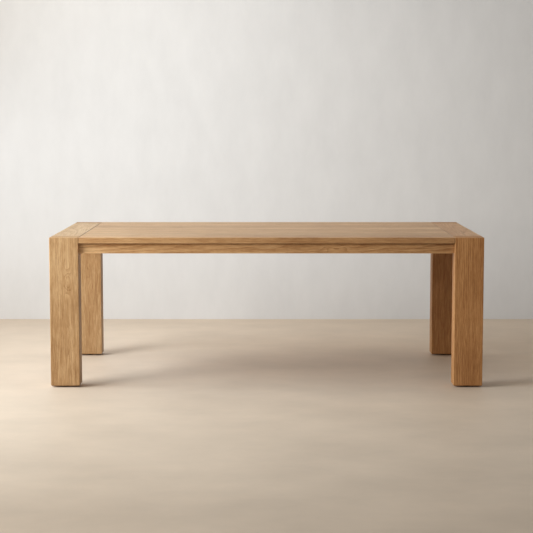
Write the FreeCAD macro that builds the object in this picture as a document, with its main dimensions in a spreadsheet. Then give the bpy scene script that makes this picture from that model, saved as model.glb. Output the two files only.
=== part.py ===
import FreeCAD, Part
import math
import os

import Sketcher

# A parsons dining table in solid oak, in millimetres, standing on the floor at Z = 0.
# X runs along the table, the front faces -Y, and the origin is under the middle.
# Four rectangular legs rise flush through the corners of a boarded top. The planks run along the
# table between two end boards, and aprons, set back under the top, are bolted to the legs.

PLANK_COUNT = 8
# The two middle planks are pegged fast, and one plank near each edge is pegged in a slot.
FIXED_PLANKS = (PLANK_COUNT // 2 - 1, PLANK_COUNT // 2)
SLIDING_PLANKS = (PLANK_COUNT // 2 - 3, PLANK_COUNT // 2 + 2)
# Sides of the table: left and front are negative, right and back are positive.
ENDS = (-1, 1)
RAILS = {"left": -1, "middle": 0, "right": 1}
CORNERS = {"front_left": (-1, -1), "front_right": (1, -1), "back_left": (-1, 1), "back_right": (1, 1)}
# Buttons stand at these steps of their pitch, counted from the middle of an apron.
LONG_BUTTONS = range(-3, 4, 2)
END_BUTTONS = range(-1, 2)

SIZES = {
    # The whole table
    "table_length": 2180,
    "table_depth": 1100,
    "table_height": 760,
    # Legs
    "leg_width": 146,
    "leg_depth": 98,
    "foot_gap": 7,
    "leg_foot_chamfer": 5,
    "edge_bevel": 2,
    # Top: planks and end boards
    "top_thickness": 30,
    "plank_bevel": 1,
    "tongue_thickness": 10,
    "plank_tongue": 8,
    "end_tongue": 22,
    "tongue_fit": 0.2,
    "tongue_gap": 1,
    "peg_radius": 4,
    "peg_length": 22,
    "peg_slide": 4,
    "end_dowel_radius": 5,
    "end_dowel_length": 50,
    "end_dowel_inset": 40,
    # Aprons
    "apron_height": 52,
    "apron_thickness": 28,
    "apron_setback": 25,
    "shadow_height": 6,
    "shadow_depth": 7,
    "apron_dowel_radius": 4,
    "apron_dowel_length": 40,
    "apron_dowel_spacing": 22,
    "dowel_chamfer": 1,
    "dowel_end_gap": 0.5,
    # Cross rails under the planks
    "rail_width": 70,
    "rail_thickness": 24,
    "rail_housing": 10,
    # Buttons that hold the top down
    "button_width": 34,
    "button_reach": 44,
    "button_height": 22,
    "button_lip": 12,
    "button_tongue": 8,
    "button_tongue_thickness": 7,
    "button_play": 3,
    "button_screw_inset": 26,
    # Wood screws
    "screw_radius": 2.2,
    "screw_point": 4,
    "screw_head_radius": 4.6,
    "screw_head_height": 3,
    "screw_head_round": 1,
    "screw_sink_radius": 6,
    "screw_slide": 4,
    "top_screw_length": 30,
    "top_screw_grip": 14,
    "bracket_screw_length": 22,
    # Leg brackets and their bolts
    "bracket_flange": 40,
    "bracket_thickness": 4,
    "bracket_height": 46,
    "bracket_bend": 3,
    "bracket_corner": 5,
    "bracket_bolt_inset": 23,
    "bracket_screw_inset": 26,
    "bracket_hole_spacing": 24,
    "bolt_radius": 4,
    "bolt_length": 30,
    "bolt_flats": 13,
    "bolt_head": 5.3,
    "bolt_hole_slack": 0.5,
    "bolt_tip": 1,
    "washer_radius": 8,
    "washer_thickness": 1.6,
    "insert_radius": 6,
    "insert_length": 25,
    # Levelling feet
    "recess_radius": 28,
    "recess_depth": 14,
    "foot_insert_radius": 8,
    "foot_insert_length": 25,
    "foot_insert_flange": 11,
    "foot_insert_lip": 2,
    "stem_radius": 5,
    "stem_length": 52,
    "stem_headroom": 30,
    "stem_tip": 1.5,
    "collar_flats": 17,
    "collar_height": 5,
    "neck_radius": 3.5,
    "neck_height": 2,
    "disc_radius": 5,
    "disc_height": 2.4,
    "swivel_fit": 0.1,
    "pad_radius": 23,
    "pad_rim": 4,
    "pad_height": 7,
    "pad_top_radius": 13,
    "sole_radius": 20,
    "sole_thickness": 2.5,
    "sole_proud": 1,
    # Fits
    "thread_fit": 0.1,
    "wood_fit": 0.2,
    "cut_margin": 5,
}

HALF_LENGTH = "(sizes.table_length / 2)"
HALF_DEPTH = "(sizes.table_depth / 2)"
LEG_INNER_X = "(sizes.table_length / 2 - sizes.leg_width)"
LEG_INNER_Y = "(sizes.table_depth / 2 - sizes.leg_depth)"
TOP = "sizes.table_height"
UNDERSIDE = "(sizes.table_height - sizes.top_thickness)"
TOP_MIDDLE = "(sizes.table_height - sizes.top_thickness / 2)"
TONGUE_LOW = f"({TOP_MIDDLE} - sizes.tongue_thickness / 2)"
TONGUE_HIGH = f"({TOP_MIDDLE} + sizes.tongue_thickness / 2)"
GROOVE_LOW = f"({TONGUE_LOW} - sizes.tongue_fit)"
GROOVE_HIGH = f"({TONGUE_HIGH} + sizes.tongue_fit)"
APRON_FOOT = f"({UNDERSIDE} - sizes.apron_height)"
APRON_MIDDLE = f"({UNDERSIDE} - sizes.apron_height / 2)"
LONG_APRON_OUTER = "(sizes.table_depth / 2 - sizes.apron_setback)"
LONG_APRON_INNER = f"({LONG_APRON_OUTER} - sizes.apron_thickness)"
END_APRON_OUTER = "(sizes.table_length / 2 - sizes.apron_setback)"
END_APRON_INNER = f"({END_APRON_OUTER} - sizes.apron_thickness)"
PLANK_PITCH = f"(sizes.table_depth / {PLANK_COUNT})"
RAIL_PITCH = f"({LEG_INNER_X} / 2)"
BUTTON_PITCH = f"({LEG_INNER_X} / 4)"
END_BUTTON_PITCH = f"({LEG_INNER_Y} / 2)"
BUTTON_MORTISE = "sizes.button_tongue + sizes.tongue_gap"
BRACKET_PILOT = "sizes.bracket_screw_length - sizes.bracket_thickness + sizes.dowel_end_gap"
LONG_APRON_LINE = f"-({LONG_APRON_OUTER} - sizes.apron_thickness / 2)"
END_APRON_LINE = f"-({END_APRON_OUTER} - sizes.apron_thickness / 2)"
LONG_BOLT_LINE = f"(sizes.bracket_bolt_inset - {LONG_APRON_INNER})"
END_BOLT_LINE = f"(sizes.bracket_bolt_inset - {END_APRON_INNER})"
PEG_X = f"({LEG_INNER_X} + sizes.end_tongue / 2)"
SCREW_SEAT = f"({UNDERSIDE} - sizes.top_screw_grip)"
SCREW_BITE = "(sizes.top_screw_length - sizes.top_screw_grip + sizes.dowel_end_gap)"
LEVELLER_X = "(sizes.table_length / 2 - sizes.leg_width / 2)"
LEVELLER_Y = "(sizes.table_depth / 2 - sizes.leg_depth / 2)"
PAD_TOP = "(sizes.sole_proud + sizes.pad_height)"
COLLAR_TOP = f"({PAD_TOP} + sizes.collar_height)"
NECK_LOW = f"({PAD_TOP} - sizes.neck_height)"
RECESS_TOP = "(sizes.foot_gap + sizes.recess_depth)"

VECTOR = FreeCAD.Vector
ALONG = VECTOR(1, 0, 0)
ACROSS = VECTOR(0, 1, 0)
UP = VECTOR(0, 0, 1)
HEAD_UP = FreeCAD.Rotation()
HEAD_DOWN = FreeCAD.Rotation(ALONG, 180)
HEAD_ALONG = FreeCAD.Rotation(ACROSS, 90)
HEAD_ACROSS = FreeCAD.Rotation(ALONG, -90)
FULL_TURN = 360
NEARLY_ZERO = 1e-6

doc = FreeCAD.newDocument("parsons_table")
nodes = []


def write_sizes():
    """Put every driving size in the sheet, under its own name."""
    sheet = doc.addObject("Spreadsheet::Sheet", "sizes")
    for row, (alias, value) in enumerate(SIZES.items(), 1):
        sheet.set(f"A{row}", alias)
        sheet.set(f"B{row}", str(value))
        sheet.setAlias(f"B{row}", alias)
    doc.recompute()


def kept(piece):
    """List a finished piece as a node of the table."""
    nodes.append(piece)
    return piece


def new_body(label):
    """Start a piece."""
    body = doc.addObject("PartDesign::Body", label)
    body.Label = label
    return body


def sketch_on(body, label, plane, offset="0"):
    """Open a sketch on one of the piece's own planes, moved by offset along the plane's normal."""
    sketch = body.newObject("Sketcher::SketchObject", label)
    support = next(item for item in body.Origin.OriginFeatures if item.Role == plane)
    sketch.AttachmentSupport = [(support, "")]
    sketch.MapMode = "FlatFace"
    sketch.setExpression("AttachmentOffset.Base.z", offset)
    return sketch


def bind(sketch, constraint, name, expression):
    """Add a constraint whose value comes from the sheet."""
    index = sketch.addConstraint(constraint)
    sketch.renameConstraint(index, name)
    sketch.setExpression(f"Constraints.{name}", expression)


def bind_point(sketch, geometry, end, across, up, start=(1.0, 1.0)):
    """Hold a point of the sketch at a place worked out from the sheet."""
    for axis, expression, value in zip("XY", (across, up), start):
        constraint = Sketcher.Constraint(f"Distance{axis}", -1, 1, geometry, end, value)
        bind(sketch, constraint, f"place_{axis}_{geometry}_{end}", expression)


def outline(sketch, points):
    """Draw a closed outline of straight lines through points worked out from the sheet."""
    first = sketch.GeometryCount
    count = len(points)
    turn = FreeCAD.Rotation(UP, FULL_TURN / count)
    corner = VECTOR(1, 0, 0)
    for _ in points:
        following = turn.multVec(corner)
        sketch.addGeometry(Part.LineSegment(corner, following), False)
        corner = following
    for index in range(count):
        after = first + (index + 1) % count
        sketch.addConstraint(Sketcher.Constraint("Coincident", first + index, 2, after, 1))
    for index, (across, up) in enumerate(points):
        bind_point(sketch, first + index, 1, across, up)


def rectangle(sketch, left, right, low, high):
    """Draw a rectangle."""
    outline(sketch, [(left, low), (right, low), (right, high), (left, high)])


def circle(sketch, across, up, radius):
    """Draw a circle."""
    index = sketch.addGeometry(Part.Circle(VECTOR(1, 1, 0), UP, 1), False)
    bind(sketch, Sketcher.Constraint("Radius", index, 1.0), f"radius_{index}", radius)
    bind_point(sketch, index, 3, across, up)


def slot(sketch, across, up, half_run, radius):
    """Draw a round-ended slot that runs along the sketch's upright axis."""
    right_side = Part.LineSegment(VECTOR(1, -1, 0), VECTOR(1, 1, 0))
    head_end = Part.ArcOfCircle(Part.Circle(VECTOR(0, 1, 0), UP, 1), 0, math.pi)
    left_side = Part.LineSegment(VECTOR(-1, 1, 0), VECTOR(-1, -1, 0))
    tail_end = Part.ArcOfCircle(Part.Circle(VECTOR(0, -1, 0), UP, 1), math.pi, 2 * math.pi)
    right, head, left, tail = (
        sketch.addGeometry(shape, False) for shape in (right_side, head_end, left_side, tail_end))
    for before, after in ((right, head), (head, left), (left, tail), (tail, right)):
        sketch.addConstraint(Sketcher.Constraint("Tangent", before, 2, after, 1))
    sketch.addConstraint(Sketcher.Constraint("Equal", head, tail))
    bind(sketch, Sketcher.Constraint("Radius", head, 1.0), f"radius_{head}", radius)
    bind_point(sketch, head, 3, across, f"{up} + {half_run}", (0.0, 1.0))
    bind_point(sketch, tail, 3, across, f"{up} - {half_run}", (0.0, -1.0))


def pad(body, sketch, length, both_ways=False):
    """Thicken a sketch, to one side or evenly to both."""
    feature = body.newObject("PartDesign::Pad", f"{sketch.Label}_pad")
    feature.Profile = sketch
    if both_ways:
        feature.SideType = "Symmetric"
    feature.setExpression("Length", length)
    doc.recompute()
    return feature


def pocket(body, sketch, depth="", towards_normal=False):
    """Cut a sketch into the piece: to a depth, or right through when no depth is given."""
    volume = body.Shape.Volume
    feature = body.newObject("PartDesign::Pocket", f"{sketch.Label}_cut")
    feature.Profile = sketch
    if depth:
        feature.setExpression("Length", depth)
        feature.Reversed = towards_normal
    else:
        feature.Type = "ThroughAll"
        feature.SideType = "Symmetric"
    doc.recompute()
    if not body.Shape.Volume < volume:
        raise RuntimeError(f"{feature.Label} cut nothing")
    return feature


def turned(body, points):
    """Turn a half section, given as radius and height, about the piece's upright axis."""
    sketch = sketch_on(body, f"{body.Label}_section", "XZ_Plane")
    outline(sketch, points)
    feature = body.newObject("PartDesign::Revolution", f"{body.Label}_turned")
    feature.Profile = sketch
    feature.ReferenceAxis = (sketch, ["V_Axis"])
    feature.Angle = FULL_TURN
    doc.recompute()
    return body


def hexagon(sketch, flats):
    """Draw a hexagon about the sketch's origin, given its size across flats."""
    reach = f"{flats} / 2 / cos(30 deg)"
    angles = range(0, FULL_TURN, 60)
    outline(sketch, [(f"{reach} * cos({angle} deg)", f"{reach} * sin({angle} deg)") for angle in angles])


def dress_edges(body, kind, size, wanted):
    """Chamfer or fillet the edges of the piece that the wanted test picks."""
    base = body.Tip
    names = [f"Edge{index}" for index, edge in enumerate(base.Shape.Edges, 1) if wanted(edge)]
    feature = body.newObject(f"PartDesign::{kind}", f"{body.Label}_{kind.lower()}_{len(body.Group)}")
    feature.Base = (base, names)
    feature.setExpression("Size" if kind == "Chamfer" else "Radius", size)
    doc.recompute()


def runs_along(edge, direction):
    """Tell whether a straight edge is parallel to a direction."""
    first, last = edge.Vertexes[0].Point, edge.Vertexes[-1].Point
    return first.sub(last).normalize().cross(direction).Length < NEARLY_ZERO


def copy_of(master, label, place, rotation=HEAD_UP):
    """Place a copy of a piece, at a place worked out from the sheet."""
    copy = doc.addObject("App::Link", label)
    copy.LinkedObject = master
    copy.Label = label
    copy.Placement = FreeCAD.Placement(VECTOR(), rotation)
    for axis, expression in zip("xyz", place):
        copy.setExpression(f"Placement.Base.{axis}", expression)
    return copy


def group(label, members):
    """Gather identical pieces into one node of separate solids."""
    gathered = doc.addObject("Part::Compound", label)
    gathered.Label = label
    gathered.Links = members
    return gathered


def mirrored(source, label, direction):
    """Make the opposite-hand piece on the other side of the table."""
    opposite = doc.addObject("Part::Mirroring", label)
    opposite.Label = label
    opposite.Source = source
    opposite.Normal = direction
    return opposite


def at_four_corners(label, members):
    """Repeat the pieces of the front left corner at all four corners, as one node."""
    front_left = group(f"{label}_front_left", members)
    front = group(f"{label}_front", [front_left, mirrored(front_left, f"{label}_front_right", ALONG)])
    return kept(group(label, [front, mirrored(front, f"{label}_back", ACROSS)]))


def plank_edge(plank):
    """Give the Y of a plank's front edge."""
    return f"({plank} * {PLANK_PITCH} - {HALF_DEPTH})"


def plank_centre(plank):
    """Give the Y of a plank's middle line."""
    return f"({plank + 0.5} * {PLANK_PITCH} - {HALF_DEPTH})"


def plank_outline(plank):
    """Give a plank's section: grooved at the front, tongued at the back, plain where it shows."""
    front, back = plank_edge(plank), plank_edge(plank + 1)
    edge, small = "sizes.edge_bevel", "sizes.plank_bevel"
    groove = f"{front} + sizes.plank_tongue + sizes.tongue_fit"
    tongue = f"{back} + sizes.plank_tongue"
    grooved = [(front, UNDERSIDE), (front, GROOVE_LOW), (groove, GROOVE_LOW), (groove, GROOVE_HIGH),
               (front, GROOVE_HIGH), (front, f"{TOP} - {small}"), (f"{front} + {small}", TOP)]
    tongued = [(f"{back} - {small}", TOP), (back, f"{TOP} - {small}"), (back, TONGUE_HIGH),
               (tongue, TONGUE_HIGH), (tongue, TONGUE_LOW), (back, TONGUE_LOW), (back, UNDERSIDE)]
    plain_front = [(f"{front} + {edge}", UNDERSIDE), (front, f"{UNDERSIDE} + {edge}"),
                   (front, f"{TOP} - {edge}"), (f"{front} + {edge}", TOP)]
    plain_back = [(f"{back} - {edge}", TOP), (back, f"{TOP} - {edge}"),
                  (back, f"{UNDERSIDE} + {edge}"), (f"{back} - {edge}", UNDERSIDE)]
    first, last = plank == 0, plank == PLANK_COUNT - 1
    return (plain_front if first else grooved) + (plain_back if last else tongued)


def cut_end_tongues(body):
    """Cut both ends of a plank down to a tongue, with a bevelled shoulder."""
    sketch = sketch_on(body, f"{body.Label}_cheeks", "XZ_Plane")
    edge = "sizes.edge_bevel"
    above, below = f"{TOP} + sizes.cut_margin", f"{UNDERSIDE} - sizes.cut_margin"
    for end in ENDS:
        shoulder = f"{end} * {LEG_INNER_X}"
        eased = f"{end} * ({LEG_INNER_X} - {edge})"
        beyond = f"{end} * ({LEG_INNER_X} + sizes.end_tongue + sizes.cut_margin)"
        outline(sketch, [(beyond, TONGUE_HIGH), (shoulder, TONGUE_HIGH), (shoulder, f"{TOP} - {edge}"),
                         (eased, TOP), (eased, above), (beyond, above)])
        rectangle(sketch, shoulder, beyond, below, TONGUE_LOW)
    pocket(body, sketch)


def clear_for_legs(body, side):
    """Square off the ends of an outer plank where it butts on the legs, with an eased corner."""
    sketch = sketch_on(body, f"{body.Label}_leg_ends", "XY_Plane")
    edge = "sizes.edge_bevel"
    tongue_end = f"{side} * ({LEG_INNER_Y} - sizes.tongue_gap)"
    face = f"{side} * {HALF_DEPTH}"
    eased_face = f"{side} * ({HALF_DEPTH} - {edge})"
    outside = f"{side} * ({HALF_DEPTH} + sizes.cut_margin)"
    for end in ENDS:
        shoulder = f"{end} * {LEG_INNER_X}"
        eased = f"{end} * ({LEG_INNER_X} - {edge})"
        beyond = f"{end} * ({LEG_INNER_X} + sizes.end_tongue + sizes.cut_margin)"
        outline(sketch, [(beyond, tongue_end), (shoulder, tongue_end), (shoulder, eased_face),
                         (eased, face), (eased, outside), (beyond, outside)])
    pocket(body, sketch)


def drill_tongues(body, plank):
    """Drill the end tongues for their pegs: slotted on the planks that have to slide."""
    sketch = sketch_on(body, f"{body.Label}_peg_holes", "XY_Plane")
    radius = "sizes.peg_radius + sizes.wood_fit"
    for end in ENDS:
        if plank in SLIDING_PLANKS:
            slot(sketch, f"{end} * {PEG_X}", plank_centre(plank), "sizes.peg_slide", radius)
        else:
            circle(sketch, f"{end} * {PEG_X}", plank_centre(plank), radius)
    pocket(body, sketch)


def drill_from_below(body, label, spots, radius, depth):
    """Drill holes up into the underside of a top board."""
    sketch = sketch_on(body, f"{body.Label}_{label}", "XY_Plane", UNDERSIDE)
    for across, along in spots:
        circle(sketch, across, along, radius)
    pocket(body, sketch, depth, towards_normal=True)


def build_plank(plank):
    """Make one plank of the top: tongue and groove edges, and tongued ends."""
    body = kept(new_body(f"top_plank_{plank + 1}"))
    section = sketch_on(body, f"{body.Label}_section", "YZ_Plane")
    outline(section, plank_outline(plank))
    pad(body, section, f"2 * ({LEG_INNER_X} + sizes.end_tongue)", both_ways=True)
    cut_end_tongues(body)
    pilots = [(f"{rail} * {RAIL_PITCH}", plank_centre(plank)) for rail in RAILS.values()]
    side = {0: -1, PLANK_COUNT - 1: 1}.get(plank)
    if side:
        clear_for_legs(body, side)
        row = f"{side} * ({LONG_APRON_INNER} - sizes.button_screw_inset)"
        pilots += [(f"{step} * {BUTTON_PITCH}", row) for step in LONG_BUTTONS]
    if plank in FIXED_PLANKS + SLIDING_PLANKS:
        drill_tongues(body, plank)
    drill_from_below(body, "pilots", pilots, "sizes.screw_radius + sizes.thread_fit", SCREW_BITE)


def build_end_board():
    """Make the left end board: grooved for the plank tongues, and bevelled where it meets the legs."""
    body = kept(new_body("end_board_left"))
    edge = "sizes.edge_bevel"
    outer, inner = f"-{HALF_LENGTH}", f"-{LEG_INNER_X}"
    groove = f"{inner} - sizes.end_tongue - sizes.tongue_gap"
    section = sketch_on(body, "end_board_section", "XZ_Plane")
    outline(section, [
        (f"{outer} + {edge}", UNDERSIDE), (inner, UNDERSIDE), (inner, GROOVE_LOW), (groove, GROOVE_LOW),
        (groove, GROOVE_HIGH), (inner, GROOVE_HIGH), (inner, f"{TOP} - {edge}"), (f"{inner} - {edge}", TOP),
        (f"{outer} + {edge}", TOP), (outer, f"{TOP} - {edge}"), (outer, f"{UNDERSIDE} + {edge}")])
    pad(body, section, f"2 * {LEG_INNER_Y}", both_ways=True)
    top_seams = sketch_on(body, "end_board_top_seams", "YZ_Plane")
    face_seams = sketch_on(body, "end_board_face_seams", "XY_Plane")
    margin = "sizes.cut_margin"
    for end in ENDS:
        butt, eased = f"{end} * {LEG_INNER_Y}", f"{end} * ({LEG_INNER_Y} - {edge})"
        beyond = f"{end} * ({LEG_INNER_Y} + {margin})"
        outline(top_seams, [(butt, f"{TOP} - {edge}"), (eased, TOP), (eased, f"{TOP} + {margin}"),
                            (beyond, f"{TOP} + {margin}"), (beyond, f"{TOP} - {edge}")])
        outline(face_seams, [(f"{outer} + {edge}", butt), (outer, eased), (f"{outer} - {margin}", eased),
                             (f"{outer} - {margin}", beyond), (f"{outer} + {edge}", beyond)])
    pocket(body, top_seams)
    pocket(body, face_seams)
    drill_row_ends(body, "dowel_holes", end_dowel_spots(), "sizes.end_dowel_radius", "sizes.end_dowel_length")
    pegs = [(f"-{PEG_X}", plank_centre(plank)) for plank in FIXED_PLANKS + SLIDING_PLANKS]
    drill_from_below(body, "peg_holes", pegs, "sizes.peg_radius + sizes.wood_fit",
                     "sizes.peg_length + sizes.dowel_end_gap")
    pilots = [(f"-({END_APRON_INNER} - sizes.button_screw_inset)", f"{step} * {END_BUTTON_PITCH}")
              for step in END_BUTTONS]
    drill_from_below(body, "pilots", pilots, "sizes.screw_radius + sizes.thread_fit", SCREW_BITE)
    kept(mirrored(body, "end_board_right", ALONG))


def end_dowel_spots():
    """Give the X and Z of the dowels between an end board and a leg."""
    return [(f"sizes.end_dowel_inset - {HALF_LENGTH}", TOP_MIDDLE),
            (f"-{LEG_INNER_X} - sizes.end_dowel_inset", TOP_MIDDLE)]


def apron_dowel_spots(apron_line):
    """Give the places of the two dowels in an apron end, one above the other."""
    return [(apron_line, f"{APRON_MIDDLE} + {step} * sizes.apron_dowel_spacing / 2") for step in ENDS]


def hole_heights():
    """Give the two heights of the holes in a bracket."""
    return [f"{APRON_MIDDLE} + {step} * sizes.bracket_hole_spacing / 2" for step in ENDS]


def drill_row_ends(body, label, spots, radius, length):
    """Drill both ends of a board that runs from front to back, half a dowel deep."""
    for end in ENDS:
        sketch = sketch_on(body, f"{body.Label}_{label}_{end + 1}", "XZ_Plane", f"{-end} * {LEG_INNER_Y}")
        for across, up in spots:
            circle(sketch, across, up, f"{radius} + sizes.wood_fit")
        pocket(body, sketch, f"{length} / 2 + sizes.dowel_end_gap", towards_normal=end > 0)


def build_legs():
    """Make the legs: flush with the top, bored for dowels, bolts and the levelling foot."""
    body = kept(new_body("leg_front_left"))
    section = sketch_on(body, "leg_section", "XY_Plane", "sizes.foot_gap")
    rectangle(section, f"-{HALF_LENGTH}", f"-{LEG_INNER_X}", f"-{HALF_DEPTH}", f"-{LEG_INNER_Y}")
    pad(body, section, f"{TOP} - sizes.foot_gap")
    middle = body.Shape.BoundBox.Center

    def is_top_or_outer(edge):
        """Tell whether an edge is round the top, or is any upright but the inner corner."""
        box = edge.BoundBox
        is_inner = box.XMin > middle.x and box.YMin > middle.y
        return box.ZMin > middle.z or (runs_along(edge, UP) and not is_inner)

    dress_edges(body, "Chamfer", "sizes.leg_foot_chamfer", lambda edge: edge.BoundBox.ZMax < middle.z)
    dress_edges(body, "Chamfer", "sizes.edge_bevel", is_top_or_outer)
    ease_inner_corner(body)
    drill_leg_for_long_apron(body)
    drill_leg_for_end(body)
    bore_for_foot(body)
    kept(mirrored(body, "leg_front_right", ALONG))
    back_left = kept(mirrored(body, "leg_back_left", ACROSS))
    kept(mirrored(back_left, "leg_back_right", ALONG))


def ease_inner_corner(body):
    """Ease the leg's inner corner up to the top, where the corner stays square to close the joint."""
    sketch = sketch_on(body, "leg_inner_corner", "XY_Plane", "sizes.foot_gap")
    corner_x, corner_y, edge = f"-{LEG_INNER_X}", f"-{LEG_INNER_Y}", "sizes.edge_bevel"
    margin = "sizes.cut_margin"
    outline(sketch, [(f"{corner_x} - {edge} - {margin}", f"{corner_y} + {margin}"),
                     (f"{corner_x} + {margin}", f"{corner_y} - {edge} - {margin}"),
                     (f"{corner_x} + {margin}", f"{corner_y} + {margin}")])
    pocket(body, sketch, f"{UNDERSIDE} - sizes.foot_gap", towards_normal=True)


def drill_leg_for_long_apron(body):
    """Drill the leg's side for the long apron's dowels and the bracket's inserts."""
    face = f"-{LEG_INNER_X}"
    dowels = sketch_on(body, "leg_long_apron_dowels", "YZ_Plane", face)
    for across, up in apron_dowel_spots(LONG_APRON_LINE):
        circle(dowels, across, up, "sizes.apron_dowel_radius + sizes.wood_fit")
    pocket(body, dowels, "sizes.apron_dowel_length / 2 + sizes.dowel_end_gap")
    inserts = sketch_on(body, "leg_long_apron_inserts", "YZ_Plane", face)
    for up in hole_heights():
        circle(inserts, LONG_BOLT_LINE, up, "sizes.insert_radius + sizes.thread_fit")
    pocket(body, inserts, "sizes.insert_length + sizes.bolt_radius")


def drill_leg_for_end(body):
    """Drill the leg's back for the end apron, its bracket's inserts and the end board."""
    face = LEG_INNER_Y
    dowels = sketch_on(body, "leg_end_apron_dowels", "XZ_Plane", face)
    for across, up in apron_dowel_spots(END_APRON_LINE):
        circle(dowels, across, up, "sizes.apron_dowel_radius + sizes.wood_fit")
    pocket(body, dowels, "sizes.apron_dowel_length / 2 + sizes.dowel_end_gap", towards_normal=True)
    inserts = sketch_on(body, "leg_end_apron_inserts", "XZ_Plane", face)
    for up in hole_heights():
        circle(inserts, END_BOLT_LINE, up, "sizes.insert_radius + sizes.thread_fit")
    pocket(body, inserts, "sizes.insert_length + sizes.bolt_radius", towards_normal=True)
    boards = sketch_on(body, "leg_end_board_dowels", "XZ_Plane", face)
    for across, up in end_dowel_spots():
        circle(boards, across, up, "sizes.end_dowel_radius + sizes.wood_fit")
    pocket(body, boards, "sizes.end_dowel_length / 2 + sizes.dowel_end_gap", towards_normal=True)


def bore_for_foot(body):
    """Bore the leg's foot: a recess for the pad, a seat for the insert and headroom for the screw."""
    deep_enough = "sizes.recess_depth + sizes.foot_insert_length"
    steps = {
        "recess": ("sizes.recess_radius", "sizes.recess_depth"),
        "insert_seat": ("sizes.foot_insert_radius + sizes.thread_fit", deep_enough),
        "headroom": ("sizes.stem_radius + sizes.thread_fit + sizes.wood_fit",
                     f"{deep_enough} + sizes.stem_headroom"),
    }
    for step, (radius, depth) in steps.items():
        sketch = sketch_on(body, f"leg_foot_{step}", "XY_Plane", "sizes.foot_gap")
        circle(sketch, f"-{LEVELLER_X}", f"-{LEVELLER_Y}", radius)
        pocket(body, sketch, depth, towards_normal=True)


def apron_outline(outer, inner):
    """Give an apron's section: rebated at the top for the shadow line, with eased lower edges."""
    edge = "sizes.plank_bevel"
    rebate = f"-{outer} + sizes.shadow_depth"
    shadow = f"{UNDERSIDE} - sizes.shadow_height"
    return [(f"-{outer} + {edge}", APRON_FOOT), (f"-{inner} - {edge}", APRON_FOOT),
            (f"-{inner}", f"{APRON_FOOT} + {edge}"), (f"-{inner}", UNDERSIDE), (rebate, UNDERSIDE),
            (rebate, shadow), (f"-{outer}", shadow), (f"-{outer}", f"{APRON_FOOT} + {edge}")]


def button_mortises(sketch, places):
    """Draw the mortises that the button tongues hook into, with room for the top to move."""
    half = "(sizes.button_width / 2 + sizes.button_play)"
    high = f"{UNDERSIDE} - sizes.button_lip"
    low = f"{high} - sizes.button_tongue_thickness - sizes.tongue_gap"
    for place in places:
        rectangle(sketch, f"{place} - {half}", f"{place} + {half}", low, high)


def build_long_aprons():
    """Make the front and back aprons: housed for the cross rails, mortised for the buttons."""
    body = kept(new_body("front_apron"))
    section = sketch_on(body, "long_apron_section", "YZ_Plane")
    outline(section, apron_outline(LONG_APRON_OUTER, LONG_APRON_INNER))
    pad(body, section, f"2 * {LEG_INNER_X}", both_ways=True)
    for end in ENDS:
        dowels = sketch_on(body, f"long_apron_dowels_{end + 1}", "YZ_Plane", f"{end} * {LEG_INNER_X}")
        for across, up in apron_dowel_spots(LONG_APRON_LINE):
            circle(dowels, across, up, "sizes.apron_dowel_radius + sizes.wood_fit")
        pocket(body, dowels, "sizes.apron_dowel_length / 2 + sizes.dowel_end_gap", towards_normal=end < 0)
    housings = sketch_on(body, "long_apron_housings", "XZ_Plane", LONG_APRON_INNER)
    half = "(sizes.rail_width / 2 + sizes.wood_fit)"
    low = f"{UNDERSIDE} - sizes.rail_thickness - sizes.wood_fit"
    for rail in RAILS.values():
        place = f"{rail} * {RAIL_PITCH}"
        rectangle(housings, f"{place} - {half}", f"{place} + {half}", low, f"{UNDERSIDE} + sizes.cut_margin")
    pocket(body, housings, "sizes.rail_housing + sizes.wood_fit", towards_normal=True)
    mortises = sketch_on(body, "long_apron_mortises", "XZ_Plane", LONG_APRON_INNER)
    button_mortises(mortises, [f"{step} * {BUTTON_PITCH}" for step in LONG_BUTTONS])
    pocket(body, mortises, BUTTON_MORTISE, towards_normal=True)
    pilots = sketch_on(body, "long_apron_pilots", "XZ_Plane", LONG_APRON_INNER)
    for end in ENDS:
        for up in hole_heights():
            place = f"{end} * ({LEG_INNER_X} - sizes.bracket_screw_inset)"
            circle(pilots, place, up, "sizes.screw_radius + sizes.thread_fit")
    pocket(body, pilots, BRACKET_PILOT, towards_normal=True)
    kept(mirrored(body, "back_apron", ACROSS))


def build_end_aprons():
    """Make the two end aprons, mortised for the buttons."""
    body = kept(new_body("left_end_apron"))
    section = sketch_on(body, "end_apron_section", "XZ_Plane")
    outline(section, apron_outline(END_APRON_OUTER, END_APRON_INNER))
    pad(body, section, f"2 * {LEG_INNER_Y}", both_ways=True)
    drill_row_ends(body, "dowels", apron_dowel_spots(END_APRON_LINE), "sizes.apron_dowel_radius",
                   "sizes.apron_dowel_length")
    mortises = sketch_on(body, "end_apron_mortises", "YZ_Plane", f"-{END_APRON_INNER}")
    button_mortises(mortises, [f"{step} * {END_BUTTON_PITCH}" for step in END_BUTTONS])
    pocket(body, mortises, BUTTON_MORTISE)
    pilots = sketch_on(body, "end_apron_pilots", "YZ_Plane", f"-{END_APRON_INNER}")
    for end in ENDS:
        for up in hole_heights():
            place = f"{end} * ({LEG_INNER_Y} - sizes.bracket_screw_inset)"
            circle(pilots, place, up, "sizes.screw_radius + sizes.thread_fit")
    pocket(body, pilots, BRACKET_PILOT)
    kept(mirrored(body, "right_end_apron", ALONG))


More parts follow.
